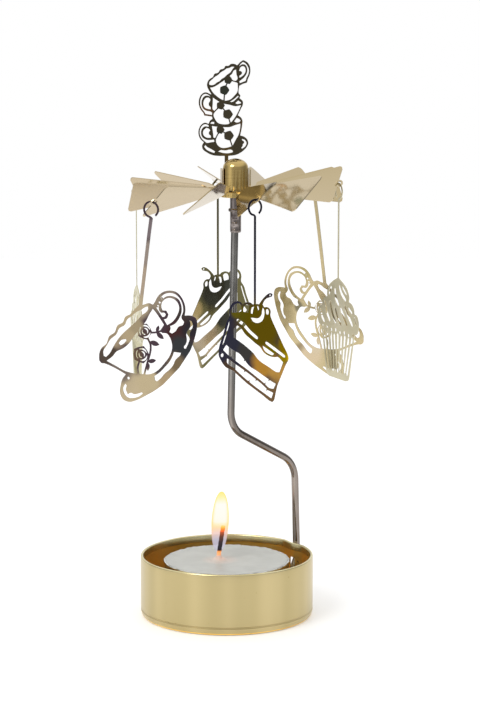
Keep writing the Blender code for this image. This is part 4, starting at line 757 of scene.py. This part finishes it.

# %% [markdown]
# ## Charms
# Bright sheet mirrors the room, so every part of a charm has its own tone, a painted reflection.
# The tables give a plain tone for each charm and the patches on it, both painted reflections:
# across and up in millimetres, radius and colour. The cupcakes' sheet is duller, and the teacups
# carry roses, broad stems and pips in their handles.

# %% Painted reflections on the charms
# Plain tones and patches here are painted reflections of room and table.
CHARM_PAINTED_REFLECTIONS = {
    "cake_front": ("2b2b3c", [
        (14.2, 22.3, 11, "5a4a08"), (23.5, 15.7, 4, "7a6200"), (25.3, 12.8, 2.5, "c9a800"),
        (4.4, 17.4, 6, "2e2e3a"), (9.5, 15.3, 4, "3a3836"), (16.2, 11.6, 6, "a87a30"),
        (21.4, 8.3, 5, "ad8440"), (3, 11, 4, "4a3a2c"), (7.5, 8.5, 4.5, "5e4834"),
        (12, 5.5, 5, "6a5038"), (18.8, 2, 6, "6e563a"), (8.6, 26.6, 3.5, "554c0c"),
        (6.0, 26.8, 2.4, "5c5312"), (11.5, 26.5, 3, "574b06"), (18.4, 15.2, 3, "6e5f04"),
        (22.6, 12.4, 2.5, "8c7606")]),
    "teacup_front": ("43363d", [
        (13.5, 29.3, 5, "a4967c"), (14.2, 36.7, 7, "9c8c7a"), (17, 51.5, 4, "73686a"),
        (16.1, 44.5, 5, "8b7f76"), (8.3, 25.2, 7, "a29274"), (3.4, 19, 6, "8c7c66"),
        (2.5, 13.2, 3.5, "4a4038"), (9.2, 21, 4, "9c8c70"), (4.7, 14.4, 3, "453b33"),
        (11.9, 22.7, 3, "908268"), (18.7, 30.5, 4, "847868"), (26.7, 27.2, 4, "3a3330"),
        (23.1, 32.2, 3, "7f7266"), (25.8, 21, 6, "3d2524"), (26.7, 17.3, 5, "303234"),
        (29.4, 23.1, 4, "2a262a"), (24.9, 11.6, 5, "6a5c46"), (21.3, 6.6, 6, "9a876a"),
        (11.5, 3.7, 8, "ac9d80"), (9.2, 7, 4, "a8997d"), (16, 6.6, 5, "aa9b7c"),
        (7, 9.9, 5, "6b6058"), (19.5, 11, 3, "4a4340"), (15, 19.8, 3, "4c3c38"),
        (11.9, 14.4, 3, "5c4a3c")]),
    "cake_back": ("6f6a48", [
        (10.5, 24, 7, "3a3b34"), (16, 26.5, 4, "3c3d34"), (14.5, 24, 5, "3e3f38"),
        (14, 15.6, 4, "3a3a33"), (7, 10.4, 7, "ab9c84"), (3.6, 19.2, 3.2, "a08e62"),
        (2.6, 15.5, 3, "b3a078"), (2, 2.7, 5, "b5a684"), (9, 7.5, 4, "b0a084"),
        (2.5, 30, 3, "5a5a34")]),
    "teacup_back": ("c0b089", [
        (10.2, 8.1, 3, "8e7e60"), (4.7, 17.4, 4, "a99a76"), (9.2, 21, 2.5, "7e7862"),
        (13.2, 6.8, 5, "c4b294"), (14.7, 9.8, 4, "c4b498"), (10.7, 31.5, 3, "a89b6e"),
        (2.2, 13.2, 3, "988962")]),
    "cupcake_right": ("d0c8aa", [(14, 20, 7, "d6cfb6"), (8, 6, 5, "b4aa86")]),
    "cupcake_left": ("cfc8a2", [(14, 22, 6, "d8d2b0"), (12, 4, 5, "b8ad78")]),
}
print("patches:", sum(len(reflection_patches) for _, reflection_patches in CHARM_PAINTED_REFLECTIONS.values()))

# %% Charms
CHARM_SHEET, TEACUP_WIDTH = 0.2 * MM, 31.43
LIFT = {"teacup_front": 0.5, "teacup_back": 0.45, "cake_back": 0.7, "cupcake_right": 0.6}
HANDLE_PIPS = ((20.3, 31.0, 0.42), (19.6, 29.75, 0.4), (19.1, 28.75, 0.34))
mirrored = [(TEACUP_WIDTH - across, up, reach) for across, up, reach in HANDLE_PIPS]
PIPS = {"teacup_front": HANDLE_PIPS, "teacup_back": mirrored}
KINDS = {"cake": dict(widen=0.08 * MM), "cupcake": dict(widen=0.2 * MM, roughness=0.3),
         "teacup": dict(rose=2.4 * MM, stem=0.2 * MM)}
for name, (plain, reflection_patches) in CHARM_PAINTED_REFLECTIONS.items():
    charm = smooth_sheet(name, name + "_charm", "charm_sheet", plain, reflection_patches, CHARM_SHEET,
                         lift=LIFT.get(name, 0.0) * MM, pips=PIPS.get(name, ()),
                         **KINDS[name.split("_")[0]])
    print(name, "faces:", len(charm.data.polygons))

# %% [markdown]
# ## Cups on top
# The stacked cups are etched from a thicker sheet. Their outer line is thinned a little, and the
# small marks in them are closed, because they are too fine for petals.

# %% Cups on top
TOPPER_SHEET = 0.25 * MM
# The topper's plain tone and these patches are painted reflections.
topper_painted_reflections = [(8, 10.5, 2.5, "6e5c38"), (2, 22, 3, "7b5b3b"), (13, 18, 3, "6b5a44"),
                (8.5, 29, 3, "454a40"), (6.5, 15, 2, "4a4a3e")]
topper = smooth_sheet("topper", "rotor", "topper_sheet", "57503f", topper_painted_reflections, TOPPER_SHEET,
                      rose=1.0 * MM, thin=0.05 * MM, roughness=0.14)
print("topper faces:", len(topper.data.polygons))

# %% [markdown]
# ## Rotor
# The rotor is stamped from one bright sheet and its vanes are twisted. Each vane mirrors another
# part of the room, so the sheet carries a painted reflection: its tone is a ramp over the direction
# from the axis.

# %% Material: rotor sheet
rotor_brass, tree, shader = new_surface("bright_brass_rotor", Metallic=1.0, Roughness=0.09)
place = add_node(tree, "TexCoord").outputs["Object"]
axes = add_node(tree, "SeparateXYZ", Vector=place)
angle = add_node(tree, "Math", {"operation": "ARCTAN2"}, in0=axes.outputs["Y"],
                 in1=axes.outputs["X"])
share = add_node(tree, "MapRange", Value=angle, From_Min=-np.pi, From_Max=np.pi)
# Painted reflection: each vane's tone is set by its direction from the axis.
tone = add_node(tree, "ValToRGB", stops=[(0.0, "c0af92"), (0.13, "c4b394"), (0.25, "a08a58"),
                                         (0.36, "d0c0a2"), (0.5, "bdac86"), (0.75, "bfad8a"),
                                         (1.0, "c0af92")], Fac=share)
wave = add_node(tree, "TexNoise", Vector=place, Scale=1 / (6 * MM), Detail=2.0)
ripple = add_node(tree, "Bump", Strength=0.05, Distance=0.15 * MM, Height=wave)
plug(shader, Base_Color=tone, Normal=ripple)
repaint("rotor_wheel", rotor_brass)
print(rotor_brass.name)

# %% [markdown]
# ## Tealight
# The cup is pressed from thin aluminium, and its wall keeps faint upright crinkles. The wax was
# poured in and has a low mound round the wick. Its grid runs from the wick outwards: the ring
# centres slide from the wick's axis to the cup's axis, so the wick doesn't have to stand in the
# middle.

# %% Material: pressed aluminium
aluminium, tree, shader = new_surface("pressed_aluminium", Metallic=1.0, Roughness=0.24)
place = add_node(tree, "TexCoord").outputs["Object"]
upright = add_node(tree, "Mapping", Vector=place, Scale=(1.0, 1.0, 0.1))
stretch = add_node(tree, "TexNoise", Vector=upright, Scale=1 / (1.2 * MM), Detail=3.0)
tone = add_node(tree, "ValToRGB", stops=[(0.3, "c9c9c6"), (0.7, "e9e9e6")], Fac=stretch)
plug(shader, Base_Color=tone)
repaint("wick_foot", aluminium)
print(aluminium.name)

# %% Cup
CANDLE_COLUMNS = 180
turn = np.linspace(0, 2 * np.pi, CANDLE_COLUMNS, endpoint=False)
cup_profile = np.array([
    (0, 1.0), (12, 1.0), *round_corner((17.7, 1.7), 0.7, -90, 0, 6),
    *((18.4, z) for z in np.linspace(3, 16.5, 12)),
    (18.45, 16.65), (18.7, 16.72), (18.95, 16.65), (19.0, 16.45), (18.9, 16.2),
    *((18.7, z) for z in np.linspace(16.0, 2.2, 14)),
    *round_corner((17.7, 1.7), 1.0, 0, -90, 8), (12, 0.7), (0, 0.7)])
cup_grid = turned_grid(cup_profile * MM, CANDLE_COLUMNS, tin_centre)
crinkle = 0.05 * np.sin(31 * turn) + 0.04 * np.sin(47 * turn + 1) + 0.04 * np.sin(12 * turn + 2)
crinkle = crinkle[None, :] * step_between(cup_grid[..., 2] / MM, 2, 6) * MM
spread = cup_grid[..., :2] - tin_centre[:2]
radius = np.linalg.norm(spread, axis=-1, keepdims=True)
crinkle = crinkle * (radius[..., 0] > 18 * MM)
cup_grid[..., :2] += spread / np.maximum(radius, MM) * crinkle[..., None]
cup = grid_piece("tealight_cup_pressed", cup_grid, "tealight", aluminium)
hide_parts("tealight_cup")
print("cup faces:", len(cup.data.polygons))

# %% Material: wax
paraffin, tree, shader = new_surface("poured_paraffin_wax", Roughness=0.42, Subsurface_Weight=0.35,
                                     Subsurface_Scale=3 * MM, IOR=1.44,
                                     Subsurface_Radius=(1.0, 0.9, 0.8))
place = add_node(tree, "TexCoord").outputs["Object"]
cloud = add_node(tree, "TexNoise", Vector=place, Scale=1 / (5 * MM), Detail=3.0)
tone = add_node(tree, "ValToRGB", stops=[(0.3, "babbb6"), (0.7, "c5c6c1")], Fac=cloud)
# Painted flame light: a peach glow on the wax round the wick, fading out about 6 mm from it.
from_wick = add_node(tree, "VectorMath", {"operation": "DISTANCE"}, in0=place,
                     in1=tuple(wick_centre + np.array([0, 0, 17.4 * MM])))
away = add_node(tree, "Math", TIMES, in0=from_wick.outputs["Value"], in1=1 / (6 * MM))
painted_flame_light_share = add_node(tree, "ValToRGB", stops=[(0.0, 1.0), (0.2, 0.85), (0.42, 0.35), (1.0, 0.0)],
                  Fac=away)
wax_with_painted_flame_light = add_node(tree, "Mix", COLOURS, Factor=painted_flame_light_share, in6=tone, in7=linear("eccdbd"))
grain = add_node(tree, "Bump", Strength=0.15, Distance=0.2 * MM, Height=cloud)
plug(shader, Base_Color=wax_with_painted_flame_light.outputs[2], Normal=grain)
print(paraffin.name)

# %% Wax
wick_base = wick_centre - np.array([0.4 * MM, 0, 0])
rings = np.concatenate([np.linspace(0.7, 2.0, 8), np.linspace(2.3, 6.0, 13),
                        np.linspace(7.0, 17.5, 12), [18.0, 18.4]])
mound = 0.6 * (1 - step_between(rings, 1.3, 2.8)) + 0.9 * (1 - step_between(rings, 0.6, 1.3))
moat = 0.08 * np.exp(-((rings - 3.4) / 0.8) ** 2)
rise = mound - moat + 0.22 * step_between(rings, 16.0, 18.2)
wax_profile = np.vstack([
    [(6.3, 1.3), (6.3, 1.9), (1.4, 1.9), (1.4, 4.6), (0.7, 4.6)],
    np.stack([rings, 16.6 + rise], axis=-1),
    [(18.6, 16.78), (18.65, 16.7), (18.36, 16.6), (18.36, 8), (18.36, 2.3), (17.9, 1.6),
     (17.1, 1.3)]])
wax_grid = turned_grid(wax_profile * MM, CANDLE_COLUMNS)
uneven = 0.06 * np.sin(9 * turn) + 0.05 * np.sin(23 * turn + 1) + 0.05 * np.sin(41 * turn + 2)
lip = step_between(wax_profile[:, :1], 17.4, 18.4) * (wax_profile[:, 1:] > 16.65)
wax_grid[..., 2] += uneven * MM * lip
wax_grid[..., :2] *= 1 + (uneven * 0.12 * lip / 1.8)[..., None]
slide = step_between(wax_profile[:, 0], 2.0, 14.0)[:, None]
wax_grid += (wick_base * (1 - slide) + tin_centre * slide)[:, None, :]
wax = grid_piece("poured_wax", wax_grid, "tealight", paraffin, 50, close_rows=True)
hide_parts("tealight_wax")
print("wax faces:", len(wax.data.polygons))

# %% [markdown]
# ## Wick and flame
# The wick is braided cotton: its radius swells and shrinks in a twisted pattern, r (1 + k sin(3a +
# w z)). It's charred black low down and glows orange at its tip. Its foot, just above the wax, has
# a pale peach glow, which is painted flame light. The flame is a turned teardrop that only emits
# light, pale yellow in its core and clear at its edge. Its near wall is thin low down and its far
# wall isn't, so the wick shows in front of the glow.

# %% Material: wick
charred_cotton, tree, shader = new_surface("charred_braided_cotton", Roughness=0.9,
                                           Specular_IOR_Level=0.1)
place = add_node(tree, "TexCoord").outputs["Object"]
axes = add_node(tree, "SeparateXYZ", Vector=place)
height = add_node(tree, "MapRange", Value=axes.outputs["Z"], From_Min=17.2 * MM, From_Max=27.2 * MM)
# At the foot the pale peach tone and its glow are painted flame light; the orange at the top is the
# burning tip's own glow.
tone = add_node(tree, "ValToRGB", stops=[(0.0, "e8b896"), (0.2, "e8954f"), (0.26, "1c0503"),
                                         (0.34, "080305"), (0.5, "2a0e06"), (0.68, "63300f"),
                                         (0.8, "a8400c"), (0.88, "ff6408"), (1.0, "ffa42c")],
                Fac=height)
ember_and_painted_flame_glow = add_node(tree, "ValToRGB", stops=[(0.0, 0.15), (0.2, 0.75), (0.26, 0.0), (0.6, 0.05),
                                         (0.78, 0.3), (0.9, 1.0)], Fac=height)
plug(shader, Base_Color=tone, Emission_Color=tone, Emission_Strength=ember_and_painted_flame_glow)
print(charred_cotton.name)

# %% Wick
WICK_RADIUS, WICK_SIDES = 0.64 * MM, 24
wick_points = [wick_base + UP * 1.4 * MM, wick_base + UP * 18.4 * MM,
               wick_base + UP * 27.1 * MM + np.array([1.35 * MM, 0, 0])]
wick_path = smooth_bends(wick_points, [6 * MM], 16)
wick_run = np.linspace(0, 1, 60)
steps = np.linalg.norm(np.diff(wick_path, axis=0), axis=1)
wick_length = np.concatenate([[0], np.cumsum(steps)])
wick_path = np.stack([np.interp(wick_run * wick_length[-1], wick_length, column)
                      for column in wick_path.T], axis=-1)
sideways = np.array([0.0, 1.0, 0.0])
wick_grid = tube_grid(wick_path, sideways, WICK_RADIUS, WICK_SIDES, ends=[(0.0, 0.0)])
turn = np.linspace(0, 2 * np.pi, WICK_SIDES, endpoint=False)
middle = wick_grid.mean(axis=1, keepdims=True)
braid = 1 + 0.07 * np.sin(3 * turn[None, :] + wick_grid[..., 2] / MM * 4.0)
wick_grid = middle + (wick_grid - middle) * braid[..., None]
wick = grid_piece("braided_wick", wick_grid, "tealight", charred_cotton, 60)
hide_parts("wick")
print("wick faces:", len(wick.data.polygons))

# %% Material: flame
burning_gas = bpy.data.materials.new("burning_wax_vapour")
burning_gas.use_nodes = True
tree = burning_gas.node_tree
tree.nodes.clear()
place = add_node(tree, "TexCoord").outputs["Object"]
axes = add_node(tree, "SeparateXYZ", Vector=place)
height = add_node(tree, "MapRange", Value=axes.outputs["Z"], From_Min=18.8 * MM, From_Max=37.5 * MM)
core = add_node(tree, "ValToRGB", stops=[(0.0, "c8c6dc"), (0.2, "cfcadb"), (0.3, "f2cdc4"),
                                         (0.38, "ffd9a8"), (0.46, "fff0b4"), (0.54, "fffdf0"),
                                         (0.82, "fffef6"), (0.92, "fff8b8"), (1.0, "fff08c")],
                Fac=height)
edge = add_node(tree, "ValToRGB", stops=[(0.0, "c2bfda"), (0.2, "d8cbd6"), (0.32, "fbc6a8"),
                                         (0.45, "ffe08c"), (0.7, "fff09c"), (1.0, "ffec78")],
                Fac=height)
facing = add_node(tree, "LayerWeight", Blend=0.5)
rim = add_node(tree, "MapRange", SMOOTH, Value=facing.outputs["Facing"], From_Min=0.15,
               From_Max=0.7)
tone = add_node(tree, "Mix", COLOURS, Factor=rim, in6=core, in7=edge)
emit = add_node(tree, "Emission", Color=tone.outputs[2], Strength=1.0)
clear = add_node(tree, "BsdfTransparent")
body = add_node(tree, "MapRange", Value=facing.outputs["Facing"], From_Min=0.97, From_Max=0.6)
near_side = add_node(tree, "ValToRGB", stops=[(0.0, 0.0), (0.1, 0.05), (0.3, 0.06), (0.44, 0.12),
    (0.53, 0.85), (1.0, 0.95)], Fac=height)
far_side = add_node(tree, "ValToRGB", stops=[(0.0, 0.2), (0.08, 0.75), (0.3, 0.9), (1.0, 0.95)],
                    Fac=height)
side = add_node(tree, "NewGeometry")
depth = add_node(tree, "Mix", Factor=side.outputs["Backfacing"], A=near_side, B=far_side)
cover = add_node(tree, "Math", TIMES, in0=body, in1=depth)
shown = add_node(tree, "MixShader", Fac=cover, in1=clear, in2=emit)
add_node(tree, "OutputMaterial", Surface=shown)
print(burning_gas.name)

# %% Flame
# Levels and radius in millimetres; the radius is R (1 - u^2)^0.52, u from 0 at the widest level
# to 1 at the tip and at the foot.
FLAME_COLUMNS, WIDEST, FLAME_RADIUS = 64, 28, 2.66
flame_levels = 28.1 - 9.5 * np.cos(np.linspace(0, np.pi, 48))
above = flame_levels > WIDEST
share = np.where(above, (flame_levels - WIDEST) / 9.7, (WIDEST - flame_levels) / 9.5)
flame_radius = FLAME_RADIUS * np.clip(1 - share ** 2, 0, 1) ** 0.52
flame_radius[[0, -1]] = 0
flame_profile = np.stack([flame_radius, flame_levels], axis=-1)[::-1] * MM
flame_grid = turned_grid(flame_profile, FLAME_COLUMNS, wick_centre)
flame_grid[..., 0] += 0.05 * MM * (flame_grid[..., 2] / MM - WIDEST)
flame = grid_piece("flame", flame_grid, "tealight", burning_gas, 180)
print("flame width in mm:", round(2 * flame_radius.max(), 2))

# %% [markdown]
# ## Table, light and camera
# The object stands on a white table in a bright white room, as in a product photo. The background
# is plain white to the camera, and the light that falls on everything is even. The metal mirrors
# walls whose tone changes round the room, under a white ceiling. One large soft light from the
# upper left in front gives gradients and a soft shadow. The camera looks slightly down through a
# long lens, so the parallel edges hardly converge.

# %% Table
table_mesh = bpy.data.meshes.new("table")
half = 0.9
corners = [(-half, -half, 0), (half, -half, 0), (half, half, 0), (-half, half, 0)]
table_mesh.from_pydata(corners, [], [(0, 1, 2, 3)])
table_paint, tree, shader = new_surface("white_table_board", Roughness=0.6,
                                        Base_Color=linear("f4f4f4"), Emission_Color=(1, 1, 1, 1),
                                        Emission_Strength=0.25)
table_mesh.materials.append(table_paint)
table = bpy.data.objects.new("table", table_mesh)
bpy.context.scene.collection.objects.link(table)
table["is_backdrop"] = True
print("table side in m:", 2 * half)

# %% Room light
world = bpy.data.worlds.new("white_room")
bpy.context.scene.world = world
world.use_nodes = True
tree = world.node_tree
tree.nodes.clear()
rays = add_node(tree, "LightPath")
way = add_node(tree, "TexCoord")
axes = add_node(tree, "SeparateXYZ", Vector=way.outputs["Generated"])
front = add_node(tree, "Math", TIMES, in0=axes.outputs["Y"], in1=-1.0)
turn = add_node(tree, "Math", {"operation": "ARCTAN2"}, in0=axes.outputs["X"], in1=front)
share = add_node(tree, "MapRange", Value=turn, From_Min=-np.pi, From_Max=np.pi)
room = [(-180, 0.95), (-140, 0.8), (-115, 0.35), (-88, 0.45), (-68, 0.75), (-55, 1.0), (-44, 1.0),
        (-30, 0.6), (0, 0.5), (38, 0.5), (65, 0.4), (100, 0.32), (125, 0.45), (150, 0.85), (170,
    0.95)]
walls = add_node(tree, "ValToRGB", stops=[(0.5 + degrees / 360, tone) for degrees, tone in room],
                 Fac=share)
ceiling = add_node(tree, "MapRange", SMOOTH, Value=axes.outputs["Z"], From_Min=0.3, From_Max=0.75)
mirrored = add_node(tree, "Mix", COLOURS, Factor=ceiling, in6=walls, in7=(1.0, 1.0, 1.0, 1.0))
direct = add_node(tree, "Math", {"operation": "MAXIMUM"}, in0=rays.outputs["Is Camera Ray"],
                  in1=rays.outputs["Is Transmission Ray"])
even_light = add_node(tree, "Background", Color=(1, 1, 1, 1), Strength=0.85)
room_light = add_node(tree, "Background", Color=mirrored.outputs[2], Strength=1.0)
white = add_node(tree, "Background", Color=(1, 1, 1, 1), Strength=1.0)
metal = add_node(tree, "MixShader", Fac=rays.outputs["Is Glossy Ray"], in1=even_light,
                 in2=room_light)
shown = add_node(tree, "MixShader", Fac=direct, in1=metal, in2=white)
add_node(tree, "OutputWorld", Surface=shown)
print("wall tones:", len(room))

# %% Key light
KEY_SIDE, KEY_WATTS, KEY_PLACE, KEY_AIM = 0.5, 3.5, (-0.5, -0.6, 0.8), Vector((0, 0, 0.08))
key_data = bpy.data.lights.new("soft_key", "AREA")
key_data.size, key_data.energy = KEY_SIDE, KEY_WATTS
key = bpy.data.objects.new("soft_key", key_data)
key.location = KEY_PLACE
key.rotation_euler = (KEY_AIM - key.location).to_track_quat("-Z", "Y").to_euler()
bpy.context.scene.collection.objects.link(key)
print("key light in W:", key_data.energy)

# %% Camera
SENSOR_MM, LENS_MM, EYE, DOWN_DEGREES = 36.0, 119.0, (0.0013, -0.7, 0.192), 9.27
camera_data = bpy.data.cameras.new("camera")
camera_data.sensor_width, camera_data.lens = SENSOR_MM, LENS_MM
camera = bpy.data.objects.new("camera", camera_data)
camera.location = EYE
camera.rotation_euler = (np.radians(90 - DOWN_DEGREES), 0, 0)
bpy.context.scene.collection.objects.link(camera)
bpy.context.scene.camera = camera
bpy.context.scene.view_settings.view_transform = "Standard"
print("camera looks down by degrees:", DOWN_DEGREES)

# %% Measure and finish
visual_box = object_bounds()
for label, box in (("cad", cad_box), ("visual", visual_box)):
    print(label, "box in mm:", np.round(np.array(box) / MM, 2).tolist())
